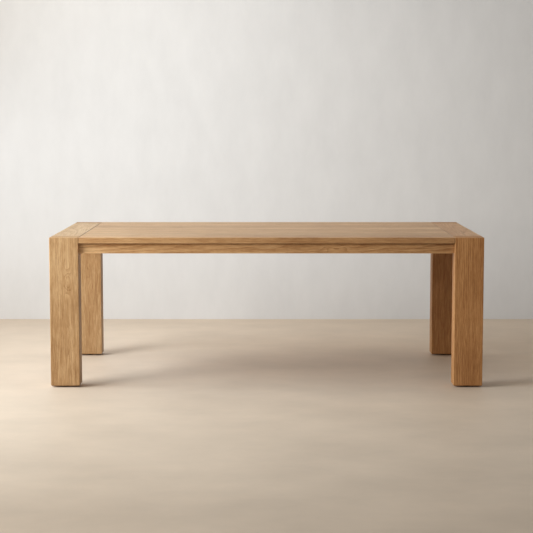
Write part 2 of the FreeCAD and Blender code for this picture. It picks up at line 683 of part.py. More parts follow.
def build_rails():
    """Make the cross rails, with a sunk and slotted screw hole under the middle of each plank."""
    body = new_body("cross_rail")
    low = f"{UNDERSIDE} - sizes.rail_thickness"
    section = sketch_on(body, "rail_section", "XZ_Plane")
    rectangle(section, "-sizes.rail_width / 2", "sizes.rail_width / 2", low, UNDERSIDE)
    pad(body, section, f"2 * ({LONG_APRON_INNER} + sizes.rail_housing)", both_ways=True)
    sinks = sketch_on(body, "rail_sinks", "XY_Plane", low)
    slot(sinks, "0", plank_centre(0), "sizes.screw_slide", "sizes.screw_sink_radius")
    sunk = pocket(body, sinks, "sizes.rail_thickness - sizes.top_screw_grip", towards_normal=True)
    slots = sketch_on(body, "rail_slots", "XY_Plane")
    slot(slots, "0", plank_centre(0), "sizes.screw_slide", "sizes.screw_radius + sizes.wood_fit")
    slotted = pocket(body, slots)
    row = body.newObject("PartDesign::LinearPattern", "rail_screw_row")
    row.Originals = [sunk, slotted]
    axis = next(item for item in body.Origin.OriginFeatures if item.Role == "Y_Axis")
    row.Direction = (axis, [""])
    row.setExpression("Length", f"{PLANK_COUNT - 1} * {PLANK_PITCH}")
    row.Occurrences = PLANK_COUNT
    body.Tip = row
    doc.recompute()
    for name, step in RAILS.items():
        kept(copy_of(body, f"cross_rail_{name}", (f"{step} * {RAIL_PITCH}", "0", "0")))


def build_button():
    """Make one button: a block whose tongue hooks into the apron, with a sunk screw hole."""
    body = new_body("top_button")
    back, front = "sizes.tongue_gap", "sizes.tongue_gap + sizes.button_reach"
    tongue = "-sizes.button_tongue"
    hook_high = "-sizes.button_lip"
    hook_low = "-sizes.button_lip - sizes.button_tongue_thickness"
    section = sketch_on(body, "button_section", "YZ_Plane")
    outline(section, [(back, "0"), (back, hook_high), (tongue, hook_high), (tongue, hook_low),
                      (back, hook_low), (back, "-sizes.button_height"), (front, "-sizes.button_height"),
                      (front, "0")])
    pad(body, section, "sizes.button_width", both_ways=True)
    hole = sketch_on(body, "button_hole", "XY_Plane")
    circle(hole, "0", "sizes.button_screw_inset", "sizes.screw_radius + sizes.wood_fit")
    pocket(body, hole)
    sink = sketch_on(body, "button_sink", "XY_Plane", "-sizes.button_height")
    circle(sink, "0", "sizes.button_screw_inset", "sizes.screw_sink_radius")
    pocket(body, sink, "sizes.button_height - sizes.top_screw_grip", towards_normal=True)
    return body


def button_places():
    """List each button as its place on an apron, the way to its screw, and its turn."""
    inset = "sizes.button_screw_inset"
    for side, angle in ((-1, 0), (1, 180)):
        apron, screw = f"{side} * {LONG_APRON_INNER}", f"{side} * ({LONG_APRON_INNER} - {inset})"
        for step in LONG_BUTTONS:
            along = f"{step} * {BUTTON_PITCH}"
            yield (along, apron), (along, screw), angle
    for side, angle in ((-1, -90), (1, 90)):
        apron, screw = f"{side} * {END_APRON_INNER}", f"{side} * ({END_APRON_INNER} - {inset})"
        for step in END_BUTTONS:
            across = f"{step} * {END_BUTTON_PITCH}"
            yield (apron, across), (screw, across), angle


def wood_screw(label, length):
    """Make a round-headed wood screw, head up, its head seated at zero."""
    radius, head = "sizes.screw_radius", "sizes.screw_head_radius"
    height, rounding = "sizes.screw_head_height", "sizes.screw_head_round"
    return turned(new_body(label), [
        ("0", height), (f"{head} - {rounding}", height), (head, f"{height} - {rounding}"), (head, "0"),
        (radius, "0"), (radius, f"sizes.screw_point - {length}"), ("0", f"-{length}")])


def dowel(label, radius, length):
    """Make a dowel with chamfered ends, centred on its middle."""
    half, chamfer = f"{length} / 2", "sizes.dowel_chamfer"
    return turned(new_body(label), [
        ("0", f"-{half}"), (f"{radius} - {chamfer}", f"-{half}"), (radius, f"{chamfer} - {half}"),
        (radius, f"{half} - {chamfer}"), (f"{radius} - {chamfer}", half), ("0", half)])


def fasten_top():
    """Set the buttons and the screws that hold the planks and end boards down."""
    button = build_button()
    screw = wood_screw("top_screw", "sizes.top_screw_length")
    buttons, button_screws = [], []
    for (along, across), (screw_along, screw_across), angle in button_places():
        spin = FreeCAD.Rotation(UP, angle)
        buttons.append(copy_of(button, f"button_{len(buttons)}", (along, across, UNDERSIDE), spin))
        place = (screw_along, screw_across, SCREW_SEAT)
        button_screws.append(copy_of(screw, f"button_screw_{len(buttons)}", place, HEAD_DOWN))
    kept(group("top_buttons", buttons))
    kept(group("button_screws", button_screws))
    rail_screws = []
    for rail in RAILS.values():
        for plank in range(PLANK_COUNT):
            place = (f"{rail} * {RAIL_PITCH}", plank_centre(plank), SCREW_SEAT)
            rail_screws.append(copy_of(screw, f"rail_screw_{len(rail_screws)}", place, HEAD_DOWN))
    kept(group("rail_screws", rail_screws))


def peg_and_dowel():
    """Set the pegs in the end boards and the dowels in the legs."""
    peg = dowel("peg", "sizes.peg_radius", "sizes.peg_length")
    middle = f"{UNDERSIDE} + sizes.peg_length / 2"
    kept(group("tongue_pegs", [
        copy_of(peg, f"peg_{end}_{plank}", (f"{end} * {PEG_X}", plank_centre(plank), middle))
        for end in ENDS for plank in FIXED_PLANKS + SLIDING_PLANKS]))
    thick = dowel("end_dowel", "sizes.end_dowel_radius", "sizes.end_dowel_length")
    at_four_corners("end_board_dowels", [
        copy_of(thick, f"end_dowel_{index}", (across, f"-{LEG_INNER_Y}", up), HEAD_ACROSS)
        for index, (across, up) in enumerate(end_dowel_spots())])
    thin = dowel("apron_dowel", "sizes.apron_dowel_radius", "sizes.apron_dowel_length")
    members = [copy_of(thin, f"long_apron_dowel_{index}", (f"-{LEG_INNER_X}", across, up), HEAD_ALONG)
               for index, (across, up) in enumerate(apron_dowel_spots(LONG_APRON_LINE))]
    members += [copy_of(thin, f"end_apron_dowel_{index}", (across, f"-{LEG_INNER_Y}", up), HEAD_ACROSS)
                for index, (across, up) in enumerate(apron_dowel_spots(END_APRON_LINE))]
    at_four_corners("apron_dowels", members)


def round_bracket(body):
    """Round the free corners of a bracket's flanges, and both sides of its bend."""
    middle = body.Shape.BoundBox.Center

    def is_free_corner(edge):
        """Tell whether an edge runs through the sheet at the far end of a flange."""
        on_apron = runs_along(edge, ACROSS) and edge.BoundBox.XMin > middle.x
        on_leg = runs_along(edge, ALONG) and edge.BoundBox.YMin > middle.y
        return on_apron or on_leg

    def is_bend(edge, outside):
        """Tell whether an edge is the bend, on its outer or its inner side."""
        box = edge.BoundBox
        at_bend = runs_along(edge, UP) and abs(box.Center.x - box.Center.y) < NEARLY_ZERO
        return at_bend and (box.XMax < NEARLY_ZERO) == outside

    inner_bend = "sizes.bracket_bend"
    dress_edges(body, "Fillet", "sizes.bracket_corner", is_free_corner)
    dress_edges(body, "Fillet", f"{inner_bend} + sizes.bracket_thickness", lambda edge: is_bend(edge, True))
    dress_edges(body, "Fillet", inner_bend, lambda edge: is_bend(edge, False))


def build_bracket():
    """Make one steel angle bracket, its outer corner at zero: the leg's flange runs along Y."""
    body = new_body("leg_bracket")
    flange, sheet = "sizes.bracket_flange", "sizes.bracket_thickness"
    section = sketch_on(body, "bracket_section", "XY_Plane", "-sizes.bracket_height / 2")
    outline(section, [
        ("0", "0"), (flange, "0"), (flange, sheet), (sheet, sheet), (sheet, flange), ("0", flange)])
    pad(body, section, "sizes.bracket_height")
    round_bracket(body)
    spread = "sizes.bracket_hole_spacing / 2"
    bolt_hole = "sizes.bolt_radius + sizes.bolt_hole_slack"
    screw_hole = "sizes.screw_radius + sizes.wood_fit"
    bolts = sketch_on(body, "bracket_bolt_holes", "YZ_Plane", sheet)
    screws = sketch_on(body, "bracket_screw_holes", "XZ_Plane", f"-{sheet}")
    for step in ENDS:
        circle(bolts, "sizes.bracket_bolt_inset", f"{step} * {spread}", bolt_hole)
        circle(screws, "sizes.bracket_screw_inset", f"{step} * {spread}", screw_hole)
    pocket(body, bolts, sheet)
    pocket(body, screws, sheet, towards_normal=True)
    return body


def bolt(label):
    """Make a hexagon bolt, head up, its head seated at zero."""
    body = new_body(label)
    head = sketch_on(body, "bolt_head", "XY_Plane")
    hexagon(head, "sizes.bolt_flats")
    pad(body, head, "sizes.bolt_head")
    radius, length, tip = "sizes.bolt_radius", "sizes.bolt_length", "sizes.bolt_tip"
    return turned(body, [
        ("0", "0"), (radius, "0"), (radius, f"{tip} - {length}"), (f"{radius} - {tip}", f"-{length}"),
        ("0", f"-{length}")])


def ring(label, bore, radius, low, high):
    """Make a plain ring, such as a washer or an insert."""
    return turned(new_body(label), [(bore, low), (radius, low), (radius, high), (bore, high)])


def set_brackets():
    """Set two brackets in the corner of each leg: on the long apron and on the end apron."""
    bracket = build_bracket()
    long_corner = (f"-{LEG_INNER_X}", f"-{LONG_APRON_INNER}", APRON_MIDDLE)
    end_corner = (f"-{END_APRON_INNER}", f"-{LEG_INNER_Y}", APRON_MIDDLE)
    flip = FreeCAD.Rotation(VECTOR(1, 1, 0), 180)
    for label, corner, turn in (("long", long_corner, HEAD_UP), ("end", end_corner, flip)):
        placed = copy_of(bracket, f"{label}_bracket_placed", corner, turn)
        front_left = kept(group(f"{label}_bracket_front_left", [placed]))
        kept(mirrored(front_left, f"{label}_bracket_front_right", ALONG))
        back_left = kept(mirrored(front_left, f"{label}_bracket_back_left", ACROSS))
        kept(mirrored(back_left, f"{label}_bracket_back_right", ALONG))


def fasten_legs():
    """Bolt the brackets to the legs with inserts and washers, and screw them to the aprons."""
    washer = ring("bracket_washer", "sizes.bolt_radius + sizes.bolt_hole_slack", "sizes.washer_radius",
                  "0", "sizes.washer_thickness")
    insert = ring("bolt_insert", "sizes.bolt_radius + sizes.thread_fit", "sizes.insert_radius",
                  "-sizes.insert_length", "0")
    rows = {
        "leg_inserts": (insert, "0"),
        "bracket_washers": (washer, "sizes.bracket_thickness"),
        "bracket_bolts": (bolt("bracket_bolt"), "sizes.bracket_thickness + sizes.washer_thickness"),
    }
    for label, (master, lift) in rows.items():
        members = []
        for up in hole_heights():
            long_place = (f"{lift} - {LEG_INNER_X}", LONG_BOLT_LINE, up)
            end_place = (END_BOLT_LINE, f"{lift} - {LEG_INNER_Y}", up)
            members.append(copy_of(master, f"{label}_{len(members)}", long_place, HEAD_ALONG))
            members.append(copy_of(master, f"{label}_{len(members)}", end_place, HEAD_ACROSS))
        at_four_corners(label, members)
    screw = wood_screw("bracket_screw", "sizes.bracket_screw_length")
    inset, lift = "sizes.bracket_screw_inset", "sizes.bracket_thickness"
    members = []
    for up in hole_heights():
        long_place = (f"{inset} - {LEG_INNER_X}", f"{lift} - {LONG_APRON_INNER}", up)
        end_place = (f"{lift} - {END_APRON_INNER}", f"{inset} - {LEG_INNER_Y}", up)
        members.append(copy_of(screw, f"bracket_screws_{len(members)}", long_place, HEAD_ACROSS))
        members.append(copy_of(screw, f"bracket_screws_{len(members)}", end_place, HEAD_ALONG))
    at_four_corners("bracket_screws", members)


def build_foot_insert():
    """Make the flanged, threaded insert in the leg's foot, its flange seated on the recess."""
    bore = "sizes.stem_radius + sizes.thread_fit"
    return turned(new_body("foot_insert"), [
        (bore, "-sizes.foot_insert_lip"), ("sizes.foot_insert_flange", "-sizes.foot_insert_lip"),
        ("sizes.foot_insert_flange", "0"), ("sizes.foot_insert_radius", "0"),
        ("sizes.foot_insert_radius", "sizes.foot_insert_length"), (bore, "sizes.foot_insert_length")])


def build_foot_screw():
    """Make the levelling screw: stem, hexagon collar, and the disc that swivels in the pad."""
    body = new_body("foot_screw_master")
    collar = sketch_on(body, "foot_collar", "XY_Plane", PAD_TOP)
    hexagon(collar, "sizes.collar_flats")
    pad(body, collar, "sizes.collar_height")
    stem, tip = "sizes.stem_radius", "sizes.stem_tip"
    stem_top = f"{COLLAR_TOP} + sizes.stem_length"
    disc, disc_low = "sizes.disc_radius", f"{NECK_LOW} - sizes.disc_height"
    neck = "sizes.neck_radius"
    return turned(body, [
        ("0", disc_low), (disc, disc_low), (disc, NECK_LOW), (neck, NECK_LOW), (neck, COLLAR_TOP),
        (stem, COLLAR_TOP), (stem, f"{stem_top} - {tip}"), (f"{stem} - {tip}", stem_top), ("0", stem_top)])


def build_pad():
    """Make the moulded pad: a coned disc that snaps over the screw's disc and holds the sole."""
    fit = "sizes.swivel_fit"
    neck, socket = f"sizes.neck_radius + {fit}", f"sizes.disc_radius + {fit}"
    socket_roof = f"{NECK_LOW} + {fit}"
    socket_floor = f"{NECK_LOW} - sizes.disc_height - {fit}"
    sole, sole_top = f"sizes.sole_radius + {fit}", "sizes.sole_thickness"
    rim, base = "sizes.pad_radius", "sizes.sole_proud"
    return turned(new_body("foot_pad_master"), [
        ("0", sole_top), (sole, sole_top), (sole, base), (rim, base), (rim, f"{base} + sizes.pad_rim"),
        ("sizes.pad_top_radius", PAD_TOP), (neck, PAD_TOP), (neck, socket_roof), (socket, socket_roof),
        (socket, socket_floor), ("0", socket_floor)])


def build_feet():
    """Set a levelling foot under each leg."""
    sole = turned(new_body("foot_sole_master"), [
        ("0", "0"), ("sizes.sole_radius", "0"), ("sizes.sole_radius", "sizes.sole_thickness"),
        ("0", "sizes.sole_thickness")])
    masters = {"foot_pad": build_pad(), "foot_sole": sole, "foot_screw": build_foot_screw()}
    insert = build_foot_insert()
    inserts = []
    for corner, (end, side) in CORNERS.items():
        along, across = f"{end} * {LEVELLER_X}", f"{side} * {LEVELLER_Y}"
        inserts.append(copy_of(insert, f"foot_insert_{corner}", (along, across, RECESS_TOP)))
        for label, master in masters.items():
            kept(copy_of(master, f"{label}_{corner}", (along, across, "0")))
    kept(group("foot_inserts", inserts))


def check_and_write():
    """Stop if anything failed to build, and otherwise write one file for each node."""
    doc.recompute()
    failed = [item.Label for item in doc.Objects if {"Invalid", "Error"} & set(item.State)]
    if failed:
        raise RuntimeError(f"not built: {failed}")
    os.makedirs("parts", exist_ok=True)
    for node in nodes:
        shape = Part.getShape(node)
        if shape.isNull() or not shape.isValid() or not shape.Solids:
            raise RuntimeError(f"{node.Label} has no sound solid")
        solids = shape.Solids
        finished = solids[0] if len(solids) == 1 else Part.makeCompound(solids)
        finished.exportStep(f"parts/{node.Label}.step")
    print(len(nodes), "nodes written")


write_sizes()
for number in range(PLANK_COUNT):
    build_plank(number)
build_end_board()
build_legs()
build_long_aprons()
build_end_aprons()
build_rails()
fasten_top()
peg_and_dowel()
set_brackets()
fasten_legs()
build_feet()
check_and_write()
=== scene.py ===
"""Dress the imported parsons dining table: oak boards, steel fittings and levelling feet."""

import logging
import math
from dataclasses import dataclass
from enum import Enum
from typing import Any, Callable, Sequence

import bpy
from mathutils import Matrix, Vector


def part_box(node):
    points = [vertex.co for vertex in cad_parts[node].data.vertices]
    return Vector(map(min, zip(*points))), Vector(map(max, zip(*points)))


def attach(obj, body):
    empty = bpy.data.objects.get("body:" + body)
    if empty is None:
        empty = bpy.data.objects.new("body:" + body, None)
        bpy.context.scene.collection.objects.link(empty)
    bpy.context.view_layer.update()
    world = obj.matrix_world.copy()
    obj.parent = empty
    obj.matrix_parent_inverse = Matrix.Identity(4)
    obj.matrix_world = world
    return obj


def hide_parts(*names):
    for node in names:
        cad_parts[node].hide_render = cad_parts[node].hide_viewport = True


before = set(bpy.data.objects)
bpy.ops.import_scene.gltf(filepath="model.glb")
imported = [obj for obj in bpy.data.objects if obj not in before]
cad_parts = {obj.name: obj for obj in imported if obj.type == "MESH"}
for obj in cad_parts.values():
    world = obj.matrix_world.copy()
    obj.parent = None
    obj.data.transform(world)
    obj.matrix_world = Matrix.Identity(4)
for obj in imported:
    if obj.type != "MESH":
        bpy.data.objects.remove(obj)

LOG = logging.getLogger("parsons_table")
Colour = tuple[float, float, float]
Place = tuple[float, float, float]
Point = tuple[float, float]
Section = Sequence[Point]
MM = 0.001
MERGE = 0.001 * MM
SMOOTH_ANGLE = math.radians(35.0)
WINDOW_TINT = (0.89, 1.0, 1.08)
ROOM_TINT = (1.08, 1.0, 0.86)


def linear(red: float, green: float, blue: float) -> Colour:
    """Turn a display colour, 0 to 255, into the linear light that a shader takes.

    Args:
        red: The display's red.
        green: The display's green.
        blue: The display's blue.

    Returns:
        The three linear parts, 0 to 1.
    """
    parts = []
    for part in (red, green, blue):
        share = part / 255
        parts.append(share / 12.92 if share <= 0.04045 else ((share + 0.055) / 1.055) ** 2.4)
    return tuple(parts)


def measured(node: str) -> tuple[Place, Place]:
    """Give the lowest and highest corners of a node in millimetres, to a thousandth of one."""
    low, high = (tuple(round(part / MM, 3) for part in corner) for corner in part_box(node))
    return low, high


class Lie(Enum):
    """How a board lies: the table's axes that its length, width and thickness follow."""

    PLANK = ((1, 0, 0), (0, 1, 0), (0, 0, 1))
    END_BOARD = ((0, 1, 0), (-1, 0, 0), (0, 0, 1))
    LEG = ((0, 0, 1), (1, 0, 0), (0, 1, 0))
    LONG_APRON = ((1, 0, 0), (0, 0, 1), (0, -1, 0))
    END_APRON = ((0, 1, 0), (0, 0, 1), (1, 0, 0))

    @property
    def turn(self) -> Matrix:
        """The turn that brings the table's axes to the board's own."""
        return Matrix(self.value)


class Corner(Enum):
    """The corners of the table: name, end along X and side along Y."""

    FRONT_LEFT = ("front_left", -1, -1)
    FRONT_RIGHT = ("front_right", 1, -1)
    BACK_LEFT = ("back_left", -1, 1)
    BACK_RIGHT = ("back_right", 1, 1)

    @property
    def label(self) -> str:
        """The corner's name in the names of pieces."""
        return self.value[0]


class Wiring:
    """Adds nodes to one node tree and joins them."""

    def __init__(self, tree: bpy.types.NodeTree) -> None:
        """Start with an empty tree."""
        self.tree = tree
        tree.nodes.clear()

    def plug(self, socket: bpy.types.NodeSocket, value: Any) -> None:
        """Link a socket to another one, or set it to a plain value.

        Args:
            socket: The input to feed.
            value: An output socket, or a number, colour or vector.
        """
        if isinstance(value, bpy.types.NodeSocket):
            self.tree.links.new(value, socket)
        else:
            socket.default_value = (*value, 1.0) if socket.type == "RGBA" else value

    def add(self, kind: str, plugs: dict[Any, Any], **settings: Any) -> bpy.types.Node:
        """Add a node with its settings and inputs.

        Args:
            kind: The node's type.
            plugs: Input names or numbers, with what feeds them.
            settings: The node's own settings.

        Returns:
            The new node.
        """
        node = self.tree.nodes.new(kind)
        for name, value in settings.items():
            setattr(node, name, value)
        for key, value in plugs.items():
            self.plug(node.inputs[key], value)
        return node

    def sum(
        self, operation: str, first: Any, second: Any = 0.0, third: Any = 0.0, clamp: bool = False
    ) -> Any:
        """Work out a number from up to three others by an operation of the Math node."""
        plugs = {0: first, 1: second, 2: third}
        return self.add("ShaderNodeMath", plugs, operation=operation, use_clamp=clamp).outputs[0]

    def vector(self, operation: str, first: Any, second: Any = (0.0, 0.0, 0.0)) -> Any:
        """Work out a vector, a length or a dot product by an operation of the Vector Math node."""
        node = self.add("ShaderNodeVectorMath", {0: first, 1: second}, operation=operation)
        return node.outputs[1 if operation in ("LENGTH", "DOT_PRODUCT") else 0]

    def centred(self, value: Any) -> Any:
        """Bring a pattern of 0 to 1 about zero."""
        return self.sum("SUBTRACT", value, 0.5)

    def scaled(self, vector: Any, factor: Any) -> Any:
        """Multiply a vector by one number."""
        return self.add("ShaderNodeVectorMath", {0: vector, "Scale": factor}, operation="SCALE").outputs[0]

    def mapped(self, vector: Any, turn: Sequence[float], shift: Sequence[float] = (0.0, 0.0, 0.0)) -> Any:
        """Turn coordinates by three angles, then shift them."""
        plugs = {"Vector": vector, "Location": tuple(shift), "Rotation": tuple(turn)}
        return self.add("ShaderNodeMapping", plugs).outputs[0]

    def parts(self, vector: Any) -> tuple[Any, Any, Any]:
        """Split a vector into its three numbers."""
        return tuple(self.add("ShaderNodeSeparateXYZ", {0: vector}).outputs)

    def joined(self, x: Any, y: Any, z: Any) -> Any:
        """Make a vector of three numbers."""
        return self.add("ShaderNodeCombineXYZ", {0: x, 1: y, 2: z}).outputs[0]

    def noise(
        self, vector: Any, stretch: Any, detail: float = 2.0, rough: float = 0.5, output: int = 0
    ) -> Any:
        """Add a cloud pattern, stretched by its own scale along each axis.

        Args:
            vector: The coordinates.
            stretch: Clouds to the metre along each axis.
            detail: How many finer layers it has.
            rough: How strong the finer layers are.
            output: 0 for a value, 1 for a colour.

        Returns:
            The output socket.
        """
        place = self.vector("MULTIPLY", vector, stretch)
        plugs = {"Vector": place, "Scale": 1.0, "Detail": detail, "Roughness": rough}
        return self.add("ShaderNodeTexNoise", plugs).outputs[output]

    def line_noise(self, value: Any, pace: float, detail: float) -> Any:
        """Add a cloud pattern along one line."""
        plugs = {"W": value, "Scale": pace, "Detail": detail}
        return self.add("ShaderNodeTexNoise", plugs, noise_dimensions="1D").outputs[0]

    def smooth(self, value: Any, low: Any, high: Any, start: float = 0.0, end: float = 1.0) -> Any:
        """Ease a value from one number to another.

        Args:
            value: The value to ease.
            low: Where the ease begins.
            high: Where the ease ends.
            start: The result up to low.
            end: The result from high.

        Returns:
            The output socket.
        """
        node = self.add(
            "ShaderNodeMapRange", {"Value": value, 1: low, 2: high, 3: start, 4: end},
            interpolation_type="SMOOTHSTEP")
        return node.outputs[0]

    def mixed(self, share: Any, first: Any, second: Any) -> Any:
        """Blend a share, 0 to 1, of a second colour into a first one."""
        return self.add("ShaderNodeMix", {0: share, 6: first, 7: second}, data_type="RGBA").outputs[2]

    def ramp(self, value: Any, places: Sequence[float], colours: Sequence[Colour]) -> Any:
        """Colour a value by a row of stops.

        Args:
            value: The value, 0 to 1.
            places: Where each stop lies, in order.
            colours: Each stop's linear colour.

        Returns:
            The output socket.
        """
        node = self.add("ShaderNodeValToRGB", {0: value})
        elements = node.color_ramp.elements
        while len(elements) < len(colours):
            elements.new(1.0)
        for element, place, colour in zip(elements, places, colours):
            element.position = place
            element.color = (*colour, 1.0)
        return node.outputs[0]

    def group(self, tree: bpy.types.NodeTree, plugs: dict[str, Any]) -> bpy.types.Node:
        """Place a node group with its own values."""
        return self.add("ShaderNodeGroup", plugs, node_tree=tree)

    def bump(self, height: Any, strength: float, distance: float) -> Any:
        """Tilt the surface by a height pattern, 0 to 1, that is some distance deep in metres."""
        plugs = {"Height": height, "Strength": strength, "Distance": distance}
        return self.add("ShaderNodeBump", plugs).outputs[0]

    def surface(self, plugs: dict[str, Any]) -> None:
        """End a material in a surface shader with these inputs."""
        self.add("ShaderNodeOutputMaterial", {0: self.add("ShaderNodeBsdfPrincipled", plugs).outputs[0]})


def opened(name: str) -> tuple[bpy.types.Material, Wiring, Any]:
    """Open an empty material.

    Args:
        name: The material's name.

    Returns:
        The material, its wiring and the Object coordinates.
    """
    made = bpy.data.materials.new(name)
    made.use_nodes = True
    w = Wiring(made.node_tree)
    return made, w, w.add("ShaderNodeTexCoord", {}).outputs["Object"]


class GrainPattern(Enum):
    """The clouds in wood: how many to the metre along, across and through, their layers and roughness."""

    SWAY = ((5.0, 26.0, 26.0), 2.0, 0.5)
    STREAK = ((1.1, 42.0, 42.0), 3.0, 0.6)
    CLOUD = ((4.2, 9.0, 9.0), 2.0, 0.5)
    FLECK = ((17.0, 190.0, 190.0), 3.0, 0.65)
    FIBRE = ((9.0, 340.0, 340.0), 3.0, 0.6)
    CELL = ((48.0, 1250.0, 1250.0), 1.0, 0.5)
    LINE = ((7.0, 290.0, 290.0), 1.0, 0.5)


@dataclass(frozen=True)
class GrainHabit:
    """How wood grows, whatever its board.

    Attributes:
        seed_step: How far one seed shifts the clouds along, across and through.
        warp: How often the rings wander, to the metre along, across and through.
        sway: The share of the wander that the short sways have.
        swirl_reach: One over the reach of a swirl along, across and through.
        uneven_pace: How often the width of the rings varies, to the metre.
        uneven: How many years that variation shifts the rings.
        early_fall: How steeply the early wood pales into late wood.
        late_share: What balances the early wood, so that the rings leave the mean tone alone.
        band_pace: How often, to the year, the rings change tone together.
        fibre_contrast: How strongly the fibres show.
        cell_edge: The values between which a cell opens as a pore.
        late_pores: The share of the pores that late wood has.
        line_edge: The values between which a row of pores opens.
        line_share: How dark such a row is.
    """

    seed_step: Place = (17.1, 5.3, 9.7)
    warp: Place = (1.4, 5.0, 5.0)
    sway: float = 0.22
    swirl_reach: Place = (11.0, 38.0, 30.0)
    uneven_pace: float = 60.0
    uneven: float = 1.6
    early_fall: float = 2.0
    late_share: float = 0.33
    band_pace: float = 0.37
    fibre_contrast: float = 0.4
    cell_edge: tuple[float, float] = (0.55, 0.65)
    late_pores: float = 0.15
    line_edge: tuple[float, float] = (0.60, 0.72)
    line_share: float = 0.6


